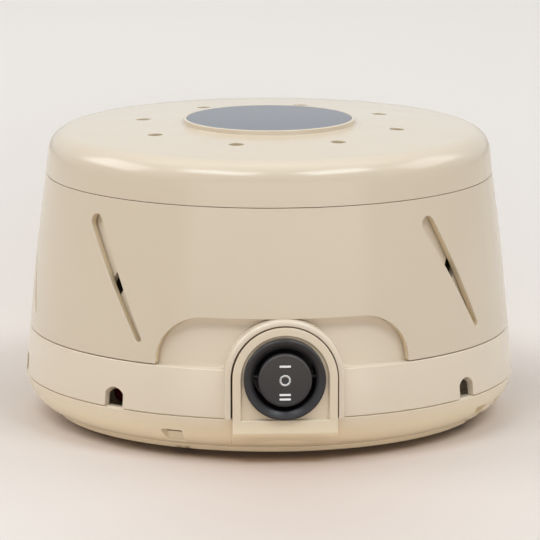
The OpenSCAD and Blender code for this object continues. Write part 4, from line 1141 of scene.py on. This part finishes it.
# %% The pan's profile
pan_centre, pan_round_r, floor_z = (61.10, 15.01), 12.0, 4.4
rim_z, under_z = pan_seam_z - seam / 2, 2.0
lip_r, groove_r, tray_r = 72.2, 69.8, 64
pan_arc = arc(pan_centre, pan_round_r, -15.5, -73.3, 16)
pan_outer = chained(
    rounded([(groove_r, ring_low_z), (lip_r, ring_low_z, 0.08), (lip_r, rim_z, 0.06),
             (body_r, rim_z, 0.15), pan_arc[0]]), pan_arc[1:-1],
    rounded([pan_arc[-1], (tray_r + 0.5, 3.5, 0.1), (tray_r, 3.5, 0.1), (tray_r, under_z, 0.4),
             (0, under_z)]))
pan_inner = lining(
    pan_outer, wall,
    [((groove_r, ring_low_z), (69.6, 13.0)), ((lip_r, ring_low_z), (69.6, 12.4)),
     ((body_r, rim_z), (69.6, 11.8)), (pan_arc[2], None)],
    [(pan_arc[-4], None), ((tray_r + 0.5, 3.5), (62.4, 5.0)), ((tray_r, under_z), (61.6, floor_z)),
     ((0, under_z), (0, floor_z))])

# %% Its openings
pan_sheet = RoundSheet(pan_outer, pan_inner, ends_on_axis=True)
notch_top_z, notch_foot_z = 8.9, 5.45
notch = resampled(loop([(0, notch_top_z), (3.4, notch_top_z, 0.3), (2.8, notch_foot_z, 0.3),
                        (-2.3, notch_foot_z, 0.3), (-3.4, notch_top_z, 0.3)]))
notch_azimuths = [radians(a) for a in (-26.6, 57.5, 68.5)]
pan_openings = [
    pan_sheet.ring(0.0), *(pan_sheet.pressed(notch, a) for a in notch_azimuths),
    *(from_above(pan_sheet, circle(3.4), a, screw_ring_r) for a in screw_azimuths),
    *(from_above(pan_sheet, circle(2.25), a, 48.0) for a in around(45, 90, range(4)))]
pan_parts = [pierced(pan_sheet, pan_openings, lips=(0.12, 0.2))]

# %% Posts, pins, ribs and the notches' backs
sunk_z = floor_z - 0.2
screw_post = turned(loop([(3.4, floor_z - 0.1), (3.4, 6), (1.7, 6), (1.7, 12, 0.1), (4.2, 12, 0.3),
                          (4.2, floor_z - 0.1)]), 36, closed=True)
pan_parts += [stood(screw_post, a, screw_ring_r) for a in screw_azimuths]
mount_post = lathe([(2, 20.2, 0.4), (2, 13, 0.1), (4.2, 13, 0.3), (4.2, sunk_z)], 32)
pan_parts += [placed(mount_post, (x, y, 0)) for x in (36, -36) for y in (14, -14)]
notch_back = prism(np.array([(-2.6, 5.0), (3.1, 5.0), (3.7, 7.87), (-3.7, 7.87)]), 66.3, 68.1)
pan_parts += [placed(notch_back, x=(cos(a), sin(a), 0), y=(0, 0, 1), z=(*at(a, 1), 0))
              for a in notch_azimuths]
saddle = np.vstack([arc((0, 14), 3.05, 180, 360, 16),
                    [(4.2, 14), (4.2, sunk_z), (-4.2, sunk_z), (-4.2, 14)]])
pan_parts.append(placed(prism(resampled(saddle, 0.6), -2.5, 2.5), (-44.5, -32, 0), **facing_front))
block_top_z, block_low_z = 13.4, 8.4
rib = np.array([(-70.0, switch_z + 4), (-70.0, block_low_z + 2), (-62, sunk_z), (-57.7, sunk_z),
                (-57.7, floor_z + 2)])
pan_parts += [placed(prism(rib, x - 0.9, x + 0.9), **seen_from_side) for x in (-12.6, 12.6)]

# %% The switch plate and its block
plate_r, recess_r, recess_y, plate_back_y = 15.0, 12.7, front_y - 1, front_y - 3.5
plate_foot_z = block_top_z - 0.5
aside = (0.12, 0, 0)
rim_section = loop([(14, 0), (12.2, 0), (12.2, 2.5, 0.1), (recess_r, 3.5, 0.12), (plate_r, 3.5, 0.3),
                    (plate_r, 0, 0.1)], 15)
pan_parts.append(placed(swept(rim_section, *arch_stations(block_top_z - 0.6, plate_back_y)), aside))
plate_outline = resampled(np.vstack([both_sides(arch_half(12.45, plate_foot_z)), [[0, plate_foot_z]]]), 0.6)
plate = pierced(FlatSheet(recess_y, 2.5), [plate_outline, circle(10.05, 0, switch_z)], lips=(0.05, 0.2))
pan_parts.append(placed(plate, aside))
block_y = -front_y + 0.01
block = resampled(loop([
    (-70, block_top_z), (block_y, block_top_z, 0.12), (block_y, block_low_z + 1, 0.3),
    (-front_y + 1, block_low_z, 0.5), (-67, 4.9, 1.0), (-64, 4.9, 0.1), (-68.7, block_top_z, 0.1)]), 0.3)
pan_parts.append(placed(prism(block, -plate_r + 0.01, plate_r - 0.01, 0.2), aside, **seen_from_side))
make_piece("pan_shell", "root", "bottom_pan", joined(*pan_parts), pan_cream)

# %% [markdown]
# ## The rocker switch
#
# A round three-position rocker sits in a black bezel. Bezel and case are one turned
# profile that dips into a well. The rocker is a disc with a fine raised rim, on a pivot
# barrel deep in the well. Its marks for on, off and on are a white print, made as a
# piece of its own that stands a few hundredths of a millimetre proud.

# %% Bezel and case
in_switch = dict(origin=(0, -recess_y, switch_z), **facing_front)
well_r, body_back = 9, -17
case = lathe([(well_r, -8.8, 0.3), (well_r, 1.0, 0.15), (11.0, 2.2, 0.25), (11.7, 2.2, 0.45), (11.7, 0),
              (9.9, 0, 0.1), (9.9, body_back, 0.3)], 144, 9)
make_piece("switch_case", "root", "switch_body", placed(case, **in_switch), black_plastic)

# %% The rocker
rocker_r, rocker_face, dish, pivot = 7.65, 2.6, 2.48, -3.8
disc = lathe([(6.8, dish, 0.05), (6.86, rocker_face, 0.04), (rocker_r, rocker_face, 0.45),
              (rocker_r, 0.4, 0.2)], 120)
core = prism(box_outline(5.35, -4.74, 4.74, 0.5, 0.8), pivot, 1.0)
lying = dict(origin=(0, 0, pivot), x=(0, 0, -1), z=(1, 0, 0))
barrel, pin = (placed(lathe([(r, half, 0.2), (r, -half, 0.2)], count), **lying)
               for r, half, count in ((2.75, 5.35, 32), (0.7, 9.7, 24)))
make_piece("rocker_button", "rocker", "rocker", placed(joined(disc, core, barrel, pin), **in_switch),
           rocker_plastic)

# %% Its marks
mark_low, mark_high = dish - 0.02, dish + 0.03
marks = [prism(box_outline(1.62, y - 0.3, y + 0.3, 0.1, 0.2), mark_low, mark_high, 0.01)
         for y in (4.1, -4.1, -5.4)]
off_ring = turned([(1.06, mark_low), (1.06, mark_high), (1.64, mark_high), (1.64, mark_low)], 48,
                  closed=True)
marks.insert(1, placed(off_ring, (0, 0.05, 0)))
make_piece("rocker_marks", "rocker", None, placed(joined(*marks), **in_switch), mark_paint)

# %% [markdown]
# ## Floor and backdrop
#
# The object stands on a wide pale sweep. Seen from above there is no horizon, so one big
# plane fills the picture. Round the object it has a painted soft shadow, darker and pinker,
# which also stands for the warm light that the plastic throws on it. The painted shadow
# follows the logarithm of the distance, because it is steep near the object and slow
# far out, and counts a step sideways as longer than a step to the front.

# %% The floor
floor_mesh = bpy.data.meshes.new("studio_floor")
floor_mesh.from_pydata([(-6, -4, 0), (6, -4, 0), (6, 12, 0), (-6, 12, 0)], [], [(0, 1, 2, 3)])
floor = in_scene("studio_floor", floor_mesh)
paper = Finish("studio_paper", roughness=0.95, specular_ior_level=0.1)
across, away = paper.along("X"), paper.along("Y")
# Painted shadow: the floor darkens and turns pinker towards the object.
distance = (across * across * 12 + away * away).math("SQRT")
far = (distance * 12.5).math("LOGARITHM", 9.2, clamp=True)
paper.set(base_color=paper.mix(far, (0.620, 0.510, 0.440), (0.825, 0.780, 0.735)))
wear(floor, paper)

# %% [markdown]
# ## Light
#
# A wide soft box overhead gives an even light. Two narrower ones hang higher and in
# front of the object, to its left and right. They light the walls and draw the two long
# highlights on the cap's shoulder. Two side boxes and one behind brighten the flanks, and
# a low warm card in front lights the pan. A soft spot, aimed past the object, lights the
# far floor alone. The world is bright only for the camera and in reflections and weak
# otherwise, so the narrow gap under the pan stays dark.

# %% Lamps
def soft_box(name, place, size, power, colour=(1, 1, 1), target=(0, 0, 0.05)):
    """A rectangular lamp of a size in metres that looks at a target."""
    lamp = bpy.data.lights.new(name, "AREA")
    lamp.shape, lamp.size, lamp.size_y = "RECTANGLE", *size
    lamp.energy, lamp.color = power, colour
    in_scene(name, lamp, place, (Vector(target) - Vector(place)).to_track_quat("-Z", "Y").to_euler())


soft_box("over_box", (0.0, 0.1, 2.0), (2.4, 1.6), 11.8, target=(0, 0, 0))
soft_box("back_box", (0.0, 0.9, 1.8), (3.0, 1.8), 5.5, target=(0, 0.3, 0))
soft_box("left_box", (-0.64, -0.82, 1.5), (0.95, 0.50), 10.2, (0.90, 0.96, 1.0))
soft_box("right_box", (0.74, -0.82, 1.5), (0.95, 0.50), 11.4, (0.88, 0.95, 1.0))
soft_box("left_side", (-1.5, 0.3, 1.1), (1.2, 0.8), 11.5)
soft_box("right_side", (1.5, 0.3, 1.1), (1.2, 0.8), 7.5)
soft_box("low_card", (0.0, -1.6, 0.22), (3.2, 0.40), 5.5, (1, 0.96, 0.90), target=(0, 0, 0.03))
beam = bpy.data.lights.new("far_spot", "SPOT")
beam.energy, beam.spot_size, beam.spot_blend, beam.shadow_soft_size = 49, radians(66), 1.0, 0.3
in_scene("far_spot", beam, (0, 1.5, 2.0))

# %% The world
glow_seen, glow_lit = 0.74, 0.05
world = bpy.data.worlds.new("studio_world")
bpy.context.scene.world = world
world.use_nodes = True
sky = Network(world.node_tree)
background = world.node_tree.nodes["Background"]
sky.feed(background.inputs["Color"], (0.96, 0.98, 1.0))
camera_ray, glossy_ray = sky.node("LightPath", output=0), sky.node("LightPath", output=3)
sky.feed(background.inputs["Strength"], camera_ray.math("MAXIMUM", glossy_ray) * glow_seen + glow_lit)
bpy.context.scene.view_settings.view_transform = "Standard"
